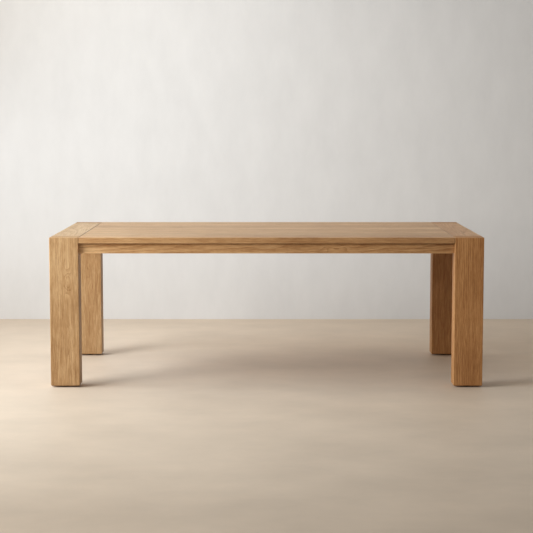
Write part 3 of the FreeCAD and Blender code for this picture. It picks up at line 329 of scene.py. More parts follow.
class SharedEffects:
    """The node groups that several finishes share, each built once."""

    def __init__(self) -> None:
        """Build every group."""
        self.grain = self._grain(GrainHabit())
        self.edge_wear = self._edge_wear()
        self.seam_stain = self._seam_stain()
        self.surface_marks = self._surface_marks()

    @staticmethod
    def _started(
        name: str, vectors: Sequence[str], numbers: Sequence[str], outputs: Sequence[str]
    ) -> tuple[Wiring, Any, bpy.types.Node]:
        """Open a node group with named sockets.

        Args:
            name: The group's name.
            vectors: The names of the inputs that are vectors.
            numbers: The names of the inputs that are numbers.
            outputs: The names of the outputs, all numbers.

        Returns:
            The wiring, the group's inputs and its output node.
        """
        tree = bpy.data.node_groups.new(name, "ShaderNodeTree")
        for labels, way, kind in (
                (vectors, "INPUT", "NodeSocketVector"), (numbers, "INPUT", "NodeSocketFloat"),
                (outputs, "OUTPUT", "NodeSocketFloat")):
            for label in labels:
                tree.interface.new_socket(name=label, in_out=way, socket_type=kind)
        w = Wiring(tree)
        return w, w.add("NodeGroupInput", {}).outputs, w.add("NodeGroupOutput", {})

    @staticmethod
    def _ended(w: Wiring, out: bpy.types.Node, results: dict[str, Any]) -> bpy.types.NodeTree:
        """Feed the outputs of a node group.

        Args:
            w: The group's wiring.
            out: Its output node.
            results: What feeds each output.

        Returns:
            The group.
        """
        for name, result in results.items():
            w.plug(out.inputs[name], result)
        return w.tree

    def _grain(self, habit: GrainHabit) -> bpy.types.NodeTree:
        """Cut a board from a log: growth rings about a pith line, a swirl, fibres and pores.

        Args:
            habit: How the wood grows.

        Returns:
            The group: Tone runs from dark to pale wood and carries a painted light falloff along the board,
            Pores marks the open pores and Fibre the streaks.
        """
        w, given, out = self._started(
            "wood_grain", ("Board", "Pith", "Swirl"),
            ("Swirl Height", "Seed", "Taper", "Ring", "Wander", "Ring Contrast", "Streak Contrast",
             "Fleck Contrast", "Cloud Contrast", "Grain And Shade Drift"),
            ("Tone", "Pores", "Fibre"))
        board, seed, wander = given["Board"], given["Seed"], given["Wander"]
        along = w.parts(board)[0]
        shifted = w.vector("ADD", board, w.scaled(habit.seed_step, seed))
        seen = {pattern: w.noise(shifted, *pattern.value) for pattern in GrainPattern}
        warp = w.vector("SUBTRACT", w.noise(shifted, habit.warp, output=1), (0.5, 0.5, 0.5))
        warp = w.scaled(warp, wander)
        sway = w.sum("MULTIPLY", w.centred(seen[GrainPattern.SWAY]), w.sum("MULTIPLY", wander, habit.sway))
        _, across, deep = w.parts(w.vector("ADD", w.vector("SUBTRACT", board, given["Pith"]), warp))
        radius = w.vector("LENGTH", w.joined(0.0, across, deep))
        radius = w.sum("MULTIPLY_ADD", along, given["Taper"], radius)
        radius = w.sum("ADD", w.sum("ADD", radius, w.parts(warp)[0]), sway)
        from_swirl = w.vector("MULTIPLY", w.vector("SUBTRACT", board, given["Swirl"]), habit.swirl_reach)
        near = w.smooth(w.vector("LENGTH", from_swirl), 0.0, 1.0, 1.0, 0.0)
        radius = w.sum("MULTIPLY_ADD", near, given["Swirl Height"], radius)
        uneven = w.line_noise(w.sum("ADD", radius, seed), habit.uneven_pace, 1.0)
        years = w.sum("MULTIPLY_ADD", uneven, habit.uneven, w.sum("DIVIDE", radius, given["Ring"]))
        early = w.sum("POWER", w.sum("SUBTRACT", 1.0, w.sum("FRACT", years)), habit.early_fall)
        band = w.line_noise(w.sum("ADD", years, seed), habit.band_pace, 2.0)
        rings = w.sum("SUBTRACT", w.sum("ADD", habit.late_share, w.centred(band)), early)
        # Painted light falloff: the drift input makes the tone paler or darker along the board.
        tone = w.sum("MULTIPLY_ADD", along, given["Grain And Shade Drift"], 0.5)
        tone = w.sum("MULTIPLY_ADD", rings, given["Ring Contrast"], tone)
        for pattern, contrast in (
                (GrainPattern.STREAK, given["Streak Contrast"]),
                (GrainPattern.FLECK, given["Fleck Contrast"]),
                (GrainPattern.CLOUD, given["Cloud Contrast"]),
                (GrainPattern.FIBRE, habit.fibre_contrast)):
            tone = w.sum("MULTIPLY_ADD", w.centred(seen[pattern]), contrast, tone)
        open_early = w.sum("MULTIPLY_ADD", early, 1.0 - habit.late_pores, habit.late_pores)
        pores = w.sum("MULTIPLY", w.smooth(seen[GrainPattern.CELL], *habit.cell_edge), open_early)
        rows = w.sum("MULTIPLY", w.smooth(seen[GrainPattern.LINE], *habit.line_edge), habit.line_share)
        pores = w.sum("MAXIMUM", pores, rows, clamp=True)
        return self._ended(w, out, {"Tone": tone, "Pores": pores, "Fibre": seen[GrainPattern.FIBRE]})

    def _edge_wear(self) -> bpy.types.NodeTree:
        """Find the arrises of a straight piece from its two far corners.

        Returns:
            The group: Wear is 1 along the arrises and fades over Width.
        """
        patches, least, most = (23.0, 23.0, 23.0), 0.2, 1.8
        w, given, out = self._started("edge_wear", ("Place", "Low", "High"), ("Width",), ("Wear",))
        place = given["Place"]
        from_low = w.vector("SUBTRACT", place, given["Low"])
        to_high = w.vector("SUBTRACT", given["High"], place)
        inward = w.vector("MINIMUM", from_low, to_high)
        x, y, z = w.parts(inward)
        total = w.sum("ADD", w.sum("ADD", x, y), z)
        nearest = w.sum("MINIMUM", w.sum("MINIMUM", x, y), z)
        farthest = w.sum("MAXIMUM", w.sum("MAXIMUM", x, y), z)
        to_edge = w.sum("SUBTRACT", w.sum("SUBTRACT", total, nearest), farthest)
        patchy = w.sum("MULTIPLY_ADD", w.noise(place, patches, detail=3.0), most - least, least)
        reach = w.sum("MULTIPLY", given["Width"], patchy)
        return self._ended(w, out, {"Wear": w.smooth(to_edge, 0.0, reach, 1.0, 0.0)})

    def _seam_stain(self) -> bpy.types.NodeTree:
        """Find the narrow grooves where a board meets its neighbours, in which the lacquer pools.

        Returns:
            The group: Stain is 1 at the planes Low and High and fades over Width.
        """
        full = 0.3
        w, given, out = self._started("seam_stain", ("Place", "Low", "High"), ("Width",), ("Stain",))
        from_low, from_high = (
            w.vector("ABSOLUTE", w.vector("SUBTRACT", given["Place"], given[plane]))
            for plane in ("Low", "High"))
        x, y, z = w.parts(w.vector("MINIMUM", from_low, from_high))
        nearest = w.sum("MINIMUM", w.sum("MINIMUM", x, y), z)
        start = w.sum("MULTIPLY", given["Width"], full)
        return self._ended(w, out, {"Stain": w.smooth(nearest, start, given["Width"], 1.0, 0.0)})

    def _surface_marks(self) -> bpy.types.NodeTree:
        """Cloud a hard surface, and mark it with fine tool marks and a few scratches.

        Returns:
            The group: Cloud drifts slowly, Marks follows the tool and Scratches is 1 on a scratch.
        """
        clouds, scratches, slant = (130.0, 130.0, 130.0), (110.0, 2600.0, 1700.0), (0.6, 0.4, 0.9)
        scratch_edge = (0.68, 0.74)
        w, given, out = self._started(
            "surface_marks", ("Place", "Marks"), (), ("Cloud", "Marks", "Scratches"))
        place = given["Place"]
        scratched = w.noise(w.mapped(place, slant), scratches, detail=1.0)
        return self._ended(w, out, {
            "Cloud": w.noise(place, clouds, detail=4.0, rough=0.6),
            "Marks": w.noise(place, given["Marks"]),
            "Scratches": w.smooth(scratched, *scratch_edge)})


@dataclass(frozen=True)
class OakBoard:
    """One board's own wood: how it was cut from its log, and where it meets its neighbours, with the
    painted light and shade that its tone, warmth and drift carry.

    Attributes:
        node: The board's name.
        lie: How the board lies in the table.
        pith: The log's middle, across and through the board from its centre, in metres.
        swirl: Where the grain swirls, along, across and through the board from its centre, in metres.
        lift: How far the swirl lifts the rings, in metres.
        taper: How fast the log tapers along the board.
        ring: The width of a year's growth, in metres.
        wander: How far the rings wander, in metres.
        figure: How strongly the rings show.
        tone: How pale the board is beside the others: its own wood, and painted shade that darkens the
            right-hand and back legs and boards.
        warmth: How much less blue the board is than the others: its own wood, and painted
            shade that warms the boards on the shaded right.
        drift: How much paler it grows along its length, a metre: natural drift, and
            painted light falloff that darkens boards towards the right and legs towards the floor.
        seed: Sets the board's own streaks.
        seams: The lowest and highest corners of the planes where it meets other boards, if any.
    """

    node: str
    lie: Lie
    pith: tuple[float, float]
    swirl: Place = (0.0, 0.0, 0.0)
    lift: float = 0.0
    taper: float = 0.012
    ring: float = 0.0048
    wander: float = 0.016
    figure: float = 0.18
    # Tone, warmth and drift carry painted light and shade as well as the board's own wood.
    tone: float = 1.0
    warmth: float = 0.0
    drift: float = 0.0
    seed: float = 0.0
    seams: tuple[Place, Place] | None = None


@dataclass(frozen=True)
class OakFinish:
    """Solid oak under a satin lacquer.

    Attributes:
        dark: The porous early wood.
        middle: The common colour.
        pale: The dense late wood.
        pore: The open pores.
        worn: The rubbed arrises.
        stain: The pooled lacquer in the seams.
        roughness: The lowest roughness of the lacquer.
        coat: How much of a clear coat lies on top.
        coat_roughness: The roughness of that coat.
        streaks: How strongly the long streaks show.
        flecks: How strongly the short flecks show.
        clouds: How strongly the broad clouds show.
        pore_share: How much of its colour a pore shows.
        end_share: How much darker end grain is.
        end_edge: How far a face looks along the board where it turns into end grain.
        worn_share: How far an arris is rubbed.
        worn_width: The width of a rubbed arris, in metres.
        stain_share: How dark a seam is.
        stain_width: The width of a stained seam, in metres.
        fibre_roughness: How much rougher the fibres and pores are.
        relief: The depth of the pores, in metres.
        relief_share: How much of that depth shows.
        bend: The lacquer's index of refraction.
    """

    dark: Colour = linear(142, 100, 60)
    middle: Colour = linear(178, 138, 95)
    pale: Colour = linear(208, 172, 129)
    pore: Colour = linear(96, 60, 32)
    worn: Colour = linear(214, 178, 134)
    stain: Colour = linear(62, 38, 20)
    roughness: float = 0.46
    coat: float = 0.0
    coat_roughness: float = 0.3
    streaks: float = 0.5
    flecks: float = 1.3
    clouds: float = 0.65
    pore_share: float = 0.55
    end_share: float = 0.35
    end_edge: tuple[float, float] = (0.6, 0.8)
    worn_share: float = 0.40
    worn_width: float = 0.003
    stain_share: float = 0.6
    stain_width: float = 0.0036
    fibre_roughness: float = 0.20
    relief: float = 0.0003
    relief_share: float = 0.25
    bend: float = 1.5

    def material(self, board: OakBoard, effects: SharedEffects) -> bpy.types.Material:
        """Make the material of one board.

        Args:
            board: The board.
            effects: The shared node groups.

        Returns:
            The board's own material.
        """
        made, w, place = opened(f"oak_{board.node}")
        low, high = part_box(board.node)
        turn = board.lie.turn
        grain = w.group(effects.grain, {
            "Board": w.mapped(place, turn.to_euler(), -(turn @ ((low + high) / 2))),
            "Pith": (0.0, *board.pith), "Swirl": board.swirl, "Swirl Height": board.lift,
            "Seed": board.seed, "Taper": board.taper, "Ring": board.ring, "Wander": board.wander,
            "Ring Contrast": board.figure,
            "Streak Contrast": self.streaks, "Fleck Contrast": self.flecks, "Cloud Contrast": self.clouds,
            "Grain And Shade Drift": board.drift}).outputs
        # The board's tone and warmth paint its share of light and shade into these colours.
        dark, middle, pale = (self._toned(colour, board) for colour in (self.dark, self.middle, self.pale))
        colour = w.ramp(grain["Tone"], (0.0, 0.5, 1.0), (dark, middle, pale))
        facing = w.add("ShaderNodeNewGeometry", {}).outputs["True Normal"]
        length_way = w.sum("ABSOLUTE", w.vector("DOT_PRODUCT", facing, tuple(turn[0])))
        wear = w.group(effects.edge_wear, {
            "Place": place, "Low": tuple(low), "High": tuple(high), "Width": self.worn_width}).outputs[0]
        layers = [
            (grain["Pores"], self.pore_share, self.pore),
            (w.smooth(length_way, *self.end_edge), self.end_share, self.dark),
            (wear, self.worn_share, self.worn)]
        if board.seams:
            stain = w.group(effects.seam_stain, {
                "Place": place, "Low": board.seams[0], "High": board.seams[1], "Width": self.stain_width})
            layers.append((stain.outputs[0], self.stain_share, self.stain))
        for pattern, share, layer in layers:
            colour = w.mixed(w.sum("MULTIPLY", pattern, share), colour, layer)
        rough = w.sum("MULTIPLY_ADD", grain["Fibre"], self.fibre_roughness, self.roughness)
        rough = w.sum("MULTIPLY_ADD", grain["Pores"], self.fibre_roughness, rough, clamp=True)
        w.surface({
            "Base Color": colour, "Roughness": rough, "IOR": self.bend, "Coat Weight": self.coat,
            "Coat Roughness": self.coat_roughness,
            "Normal": w.bump(
                w.sum("SUBTRACT", grain["Fibre"], grain["Pores"]), self.relief_share, self.relief)})
        return made

    @staticmethod
    def _toned(colour: Colour, board: OakBoard) -> Colour:
        """Give a colour the board's own tone and warmth, which carry painted shade as well as its wood."""
        tints = (1.0, 1.0 - board.warmth / 2, 1.0 - board.warmth)
        return tuple(min(1.0, board.tone * part * tint) for part, tint in zip(colour, tints))


@dataclass(frozen=True)
class BeechFinish:
    """Bare steamed beech, close grained and flecked.

    Attributes:
        dark: The darker growth.
        pale: The paler growth.
        fleck: The short dark flecks.
        tones: The values of the pattern that show the two colours pure.
        pith: The log's middle, across and through, in metres.
        taper: How fast the log tapers.
        ring: The width of a year's growth, in metres.
        wander: How far the rings wander, in metres.
        seed: Sets the streaks.
        contrast: How strongly the rings, streaks and long flecks show.
        clouds: How strongly the broad clouds show.
        flecks: Short flecks to the metre along, across and through.
        fleck_edge: The values between which a fleck begins.
        fleck_share: How dark they are.
        roughness: The lowest roughness.
        fibre_roughness: How much rougher the fibres are.
        relief: The depth of the flecks, in metres.
        relief_share: How much of that depth shows.
    """

    dark: Colour = linear(188, 138, 95)
    pale: Colour = linear(216, 172, 128)
    fleck: Colour = linear(150, 100, 62)
    tones: tuple[float, float] = (0.2, 0.8)
    pith: tuple[float, float] = (0.31, 0.42)
    taper: float = 0.03
    ring: float = 0.004
    wander: float = 0.02
    seed: float = 4.0
    contrast: float = 0.5
    clouds: float = 0.3
    flecks: Place = (260.0, 1500.0, 1500.0)
    fleck_edge: tuple[float, float] = (0.62, 0.7)
    fleck_share: float = 0.7
    roughness: float = 0.5
    fibre_roughness: float = 0.2
    relief: float = 0.0002
    relief_share: float = 0.2

    def material(self, name: str, lie: Lie, effects: SharedEffects) -> bpy.types.Material:
        """Make the material of one set of beech pieces.

        Args:
            name: The name of the set.
            lie: How its grain lies.
            effects: The shared node groups.

        Returns:
            The material.
        """
        made, w, place = opened(f"beech_{name}")
        turned = w.mapped(place, lie.turn.to_euler())
        grain = w.group(effects.grain, {
            "Board": turned, "Pith": (0.0, *self.pith), "Seed": self.seed, "Taper": self.taper,
            "Ring": self.ring, "Wander": self.wander, "Ring Contrast": self.contrast,
            "Streak Contrast": self.contrast, "Fleck Contrast": self.contrast,
            "Cloud Contrast": self.clouds}).outputs
        colour = w.ramp(grain["Tone"], self.tones, (self.dark, self.pale))
        flecks = w.smooth(w.noise(turned, self.flecks, detail=1.0), *self.fleck_edge)
        w.surface({
            "Base Color": w.mixed(w.sum("MULTIPLY", flecks, self.fleck_share), colour, self.fleck),
            "Roughness": w.sum("MULTIPLY_ADD", grain["Fibre"], self.fibre_roughness, self.roughness),
            "Normal": w.bump(w.sum("SUBTRACT", grain["Fibre"], flecks), self.relief_share, self.relief)})
        return made


@dataclass(frozen=True)
class MetalFinish:
    """Bare or plated metal with a cloudy skin, tool marks and scratches.

    Attributes:
        name: The finish's name.
        dark: The dull patches.
        bright: The bright patches.
        rough: How rough the skin is at its smoothest.
        marks: Tool marks to the metre along each axis.
        tones: The values of the pattern that show the two colours pure.
        cloud_rough: How much rougher the clouds are.
        mark_rough: How much rougher the tool marks are.
        scratch_share: How bright the scratches are.
        glint: How much brighter fresh metal is.
        relief: The depth of the tool marks, in metres.
        relief_share: How much of that depth shows.
    """

    name: str
    dark: Colour
    bright: Colour
    rough: float
    marks: Place
    tones: tuple[float, float] = (0.3, 0.7)
    cloud_rough: float = 0.22
    mark_rough: float = 0.1
    scratch_share: float = 0.6
    glint: float = 1.25
    relief: float = 0.00006
    relief_share: float = 0.2

    def material(self, effects: SharedEffects) -> bpy.types.Material:
        """Make the material.

        Args:
            effects: The shared node groups.

        Returns:
            The material.
        """
        made, w, place = opened(self.name)
        skin = w.group(effects.surface_marks, {"Place": place, "Marks": self.marks}).outputs
        colour = w.ramp(skin["Cloud"], self.tones, (self.dark, self.bright))
        fresh = tuple(min(1.0, self.glint * part) for part in self.bright)
        rough = w.sum("MULTIPLY_ADD", skin["Cloud"], self.cloud_rough, self.rough)
        w.surface({
            "Base Color": w.mixed(w.sum("MULTIPLY", skin["Scratches"], self.scratch_share), colour, fresh),
            "Metallic": 1.0, "Roughness": w.sum("MULTIPLY_ADD", skin["Marks"], self.mark_rough, rough),
            "Normal": w.bump(skin["Marks"], self.relief_share, self.relief)})
        return made


@dataclass(frozen=True)
class NylonFinish:
    """Black moulded nylon, finely textured by its mould and rubbed in patches.

    Attributes:
        base: The common colour.
        rubbed: The greyer rubbed patches.
        tones: The values of the pattern that show the two colours pure.
        texture: Marks of the mould to the metre along each axis.
        scratch_share: How pale the scratches are.
        rough: How rough it is at its smoothest.
        cloud_rough: How much rougher the rubbed patches are.
        relief: The depth of the mould's marks, in metres.
        relief_share: How much of that depth shows.
    """

    base: Colour = linear(30, 29, 28)
    rubbed: Colour = linear(58, 56, 53)
    tones: tuple[float, float] = (0.4, 0.75)
    texture: Place = (2600.0, 2600.0, 2600.0)
    scratch_share: float = 0.5
    rough: float = 0.38
    cloud_rough: float = 0.25
    relief: float = 0.0001
    relief_share: float = 0.35

    def material(self, effects: SharedEffects) -> bpy.types.Material:
        """Make the material.

        Args:
            effects: The shared node groups.

        Returns:
            The material.
        """
        made, w, place = opened("moulded_nylon")
        skin = w.group(effects.surface_marks, {"Place": place, "Marks": self.texture}).outputs
        colour = w.ramp(skin["Cloud"], self.tones, (self.base, self.rubbed))
        scratched = w.sum("MULTIPLY", skin["Scratches"], self.scratch_share)
        w.surface({
            "Base Color": w.mixed(scratched, colour, self.rubbed),
            "Roughness": w.sum("MULTIPLY_ADD", skin["Cloud"], self.cloud_rough, self.rough),
            "Normal": w.bump(skin["Marks"], self.relief_share, self.relief)})
        return made


@dataclass(frozen=True)
class FeltFinish:
    """Pressed wool felt with loose fibres.

    Attributes:
        dark: The deep fibres.
        pale: The loose fibres on top.
        tones: The values of the pattern that show the two colours pure.
        curls: Curls to the metre along each axis.
        curl: How far a fibre curls, in metres.
        strands: Fibres to the metre along each axis.
        clumps: Clumps to the metre along each axis.
        clump_share: How much of the pattern the clumps make.
        rough: How rough it is at its smoothest.
        clump_rough: How much rougher the clumps are.
        sheen: How much the loose fibres catch the light.
        relief: The height of the fibres, in metres.
        relief_share: How much of that height shows.
    """

    dark: Colour = linear(58, 52, 46)
    pale: Colour = linear(112, 103, 92)
    tones: tuple[float, float] = (0.35, 0.65)
    curls: Place = (400.0, 400.0, 400.0)
    curl: float = 0.004
    strands: Place = (900.0, 2400.0, 1500.0)
    clumps: Place = (160.0, 160.0, 160.0)
    clump_share: float = 0.3
    rough: float = 0.86
    clump_rough: float = 0.1
    sheen: float = 0.35
    relief: float = 0.0004
    relief_share: float = 0.7

    def material(self) -> bpy.types.Material:
        """Make the material.

        Returns:
            The material.
        """
        made, w, place = opened("pressed_felt")
        curled = w.vector("ADD", place, w.scaled(w.noise(place, self.curls, output=1), self.curl))
        strands = w.noise(curled, self.strands, detail=4.0, rough=0.7)
        clumps = w.noise(place, self.clumps, detail=3.0)
        fibres = w.sum("MULTIPLY", strands, 1.0 - self.clump_share)
        fibres = w.sum("MULTIPLY_ADD", clumps, self.clump_share, fibres)
        w.surface({
            "Base Color": w.ramp(fibres, self.tones, (self.dark, self.pale)),
            "Roughness": w.sum("MULTIPLY_ADD", clumps, self.clump_rough, self.rough),
            "Sheen Weight": self.sheen, "Normal": w.bump(fibres, self.relief_share, self.relief)})
        return made


class Finishes:
    """Every finish of the table: metals, nylon and felt made once, and wood made for each board."""

    def __init__(self) -> None:
        """Make the shared effects and the finishes."""
        self.effects = SharedEffects()
        self._satin_oak = OakFinish(roughness=0.36, coat=0.08)
        self._matt_oak = OakFinish()
        self._beech = BeechFinish()
        self.zinc = MetalFinish(
            "zinc_plate", linear(172, 174, 175), linear(216, 217, 216), 0.24, (900.0, 900.0, 900.0)
        ).material(self.effects)
        self.steel = MetalFinish(
            "turned_steel", linear(140, 141, 143), linear(188, 188, 188), 0.18, (120.0, 120.0, 5200.0)
        ).material(self.effects)
        self.brass = MetalFinish(
            "turned_brass", linear(150, 112, 58), linear(206, 168, 98), 0.2, (140.0, 140.0, 4200.0)
        ).material(self.effects)
        self.nylon = NylonFinish().material(self.effects)
        self.felt = FeltFinish().material()

    def satin_oak(self, board: OakBoard) -> bpy.types.Material:
        """Make the oak of one board of the top, rubbed to a satin polish."""
        return self._satin_oak.material(board, self.effects)

    def matt_oak(self, board: OakBoard) -> bpy.types.Material:
        """Make the oak of one board of the underframe."""
        return self._matt_oak.material(board, self.effects)

    def beech(self, name: str, lie: Lie) -> bpy.types.Material:
        """Make the beech of one set of pieces."""
        return self._beech.material(name, lie, self.effects)


def wear_material(node: str, made: bpy.types.Material) -> None:
    """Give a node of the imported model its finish.

    Args:
        node: The node's name.
        made: The material.
    """
    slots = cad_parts[node].data.materials
    slots.clear()
    slots.append(made)
    LOG.info("%s wears %s", node, made.name)


@dataclass
class BoardedTop:
    """The boarded top: planks between two end boards.

    Attributes:
        cuts: Each plank from the front: pith across and through, in metres, tone, warmth and drift; the
            front plank's warmth and the drifts towards a darker right end are painted light falloff.
        end_cuts: Each end board: name, side, pith across, in metres, figure, tone, warmth and seed; the
            paler, cooler left board and the darker, warmer right board are painted light and shade.
        end_pith: How deep the pith of an end board lies, in metres.
        swirl: Where the grain of the first plank swirls, along and across, in metres.
        swirl_step: How far the swirl moves from plank to plank, in metres.
        swirl_span: The length over which it moves, in metres.
        lift: How far a swirl lifts the rings, in metres.
        seed: The first plank's seed.
        seed_step: How much a seed grows from plank to plank.
        clear: A distance past every board, for the sides with no seam.
    """

    # Painted light falloff: the front plank's warmth, and drifts mostly towards a darker right end.
    cuts: tuple[tuple[float, ...], ...] = (
        (0.02, -0.19, 0.96, 0.12, -0.20),
        (-0.05, 0.21, 0.93, -0.06, -0.10),
        (0.09, -0.15, 1.06, -0.04, -0.02),
        (-0.01, -0.24, 0.97, 0.02, -0.12),
        (0.06, 0.17, 1.06, -0.08, 0.03),
        (-0.08, -0.16, 0.91, 0.0, -0.09),
        (0.03, 0.22, 1.05, -0.05, -0.04),
        (-0.03, -0.18, 0.97, 0.0, -0.11),
    )
    # Painted light and shade: the left end board is paler and cooler, the right one darker and warmer.
    end_cuts: tuple[tuple[Any, ...], ...] = (
        ("left", -1, 0.03, 0.18, 1.03, -0.20, 21.0),
        ("right", 1, -0.04, 0.34, 0.93, 0.15, 23.5),
    )
    end_pith: float = -0.19
    swirl: tuple[float, float] = (0.6, 0.02)
    swirl_step: float = 0.31
    swirl_span: float = 1.3
    lift: float = 0.010
    seed: float = 0.3
    seed_step: float = 1.7
    clear: float = 9.0

    def boards(self) -> list[OakBoard]:
        """List the planks and end boards with their own cuts of wood.

        Returns:
            The boards, each with the planes where it meets its neighbours.
        """
        seam_x, seam_y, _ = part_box("leg_back_right")[0]
        depth = 2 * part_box("leg_back_right")[1].y
        pitch, last, clear = depth / len(self.cuts), len(self.cuts) - 1, self.clear
        made = []
        for index, (across, through, tone, warmth, drift) in enumerate(self.cuts):
            front = index * pitch - depth / 2
            seams = ((-seam_x, front if index else -clear, -clear),
                     (seam_x, front + pitch if index < last else clear, clear))
            swirl = (self.swirl[0] - self.swirl_step * index % self.swirl_span, self.swirl[1], 0.0)
            made.append(OakBoard(
                f"top_plank_{index + 1}", Lie.PLANK, (across, through), swirl, self.lift, tone=tone,
                warmth=warmth, drift=drift, seed=self.seed_step * index + self.seed, seams=seams))
        for name, side, across, figure, tone, warmth, seed in self.end_cuts:
            low, high = sorted((side * seam_x, side * clear))
            made.append(OakBoard(
                f"end_board_{name}", Lie.END_BOARD, (across, self.end_pith), figure=figure, tone=tone,
                warmth=warmth, seed=seed, seams=((low, -seam_y, -clear), (high, seam_y, clear))))
        return made

    def dress(self, finishes: Finishes) -> None:
        """Finish the boards of the top, and the pegs and dowels in them.

        Args:
            finishes: The finishes of the table.
        """
        for board in self.boards():
            wear_material(board.node, finishes.satin_oak(board))
        wear_material("tongue_pegs", finishes.beech("tongue_pegs", Lie.LEG))
        wear_material("end_board_dowels", finishes.beech("end_board_dowels", Lie.END_BOARD))


@dataclass
class Underframe:
    """The legs, aprons and cross rails that carry the top.

    Attributes:
        boards: Each board with its own cut of wood, and with painted light and shade: the lit front-left
        leg paler and cooler, the shaded right-hand and back legs and the right end apron darker and
        warmer, and the front-left leg and front apron darkening along their length away from the light.
    """

    # Painted light and shade: the front-left leg is paler and cooler and darkens towards the floor, the
    # other legs and the right end apron are darker and the right-hand ones warmer, and the front apron
    # darkens towards its right end.
    boards: tuple[OakBoard, ...] = (
        OakBoard(
            "leg_front_left", Lie.LEG, (0.016, -0.030), (0.150, 0.018, -0.049), 0.016, taper=0.020,
            wander=0.010, figure=0.30, tone=1.01, warmth=-0.09, drift=0.16, seed=31.0),
        OakBoard(
            "leg_front_right", Lie.LEG, (-0.140, 0.160), (-0.10, -0.02, -0.049), 0.006, taper=0.010,
            figure=0.36, tone=0.93, warmth=0.38, seed=34.2),
        OakBoard(
            "leg_back_left", Lie.LEG, (0.100, 0.190), (0.08, 0.01, -0.049), 0.008, figure=0.12, tone=0.88,
            warmth=-0.04, seed=38.6),
        OakBoard(
            "leg_back_right", Lie.LEG, (-0.160, 0.120), (0.12, -0.01, -0.049), 0.006, taper=0.010,
            figure=0.38, tone=0.78, warmth=0.42, seed=40.6),
        OakBoard(
            "front_apron", Lie.LONG_APRON, (0.030, -0.170), (0.35, 0.0, 0.014), 0.008, figure=0.3,
            tone=1.17, warmth=0.02, drift=-0.23, seed=43.1),
        OakBoard("back_apron", Lie.LONG_APRON, (-0.030, 0.180), (-0.42, 0.0, -0.014), 0.008, seed=46.3),
        OakBoard("left_end_apron", Lie.END_APRON, (0.020, 0.180), (0.15, 0.0, -0.014), 0.008, seed=49.5),
        OakBoard(
            "right_end_apron", Lie.END_APRON, (-0.020, -0.170), (-0.2, 0.0, 0.014), 0.008, tone=0.95,
            warmth=0.08, seed=52.7),
        OakBoard("cross_rail_left", Lie.END_BOARD, (0.010, 0.170), tone=0.98, seed=55.9),
        OakBoard("cross_rail_middle", Lie.END_BOARD, (-0.015, 0.190), tone=1.03, seed=58.1),
        OakBoard("cross_rail_right", Lie.END_BOARD, (0.020, 0.180), tone=0.95, seed=61.3),
    )

    def dress(self, finishes: Finishes) -> None:
        """Finish the boards of the underframe, and the dowels in them.

        Args:
            finishes: The finishes of the table.
        """
        for board in self.boards:
            wear_material(board.node, finishes.matt_oak(board))
        wear_material("apron_dowels", finishes.beech("apron_dowels", Lie.PLANK))


class Carving(Enum):
    """What a second shape does to a piece."""

    CUT = "DIFFERENCE"
    JOIN = "UNION"
    KEEP = "INTERSECT"


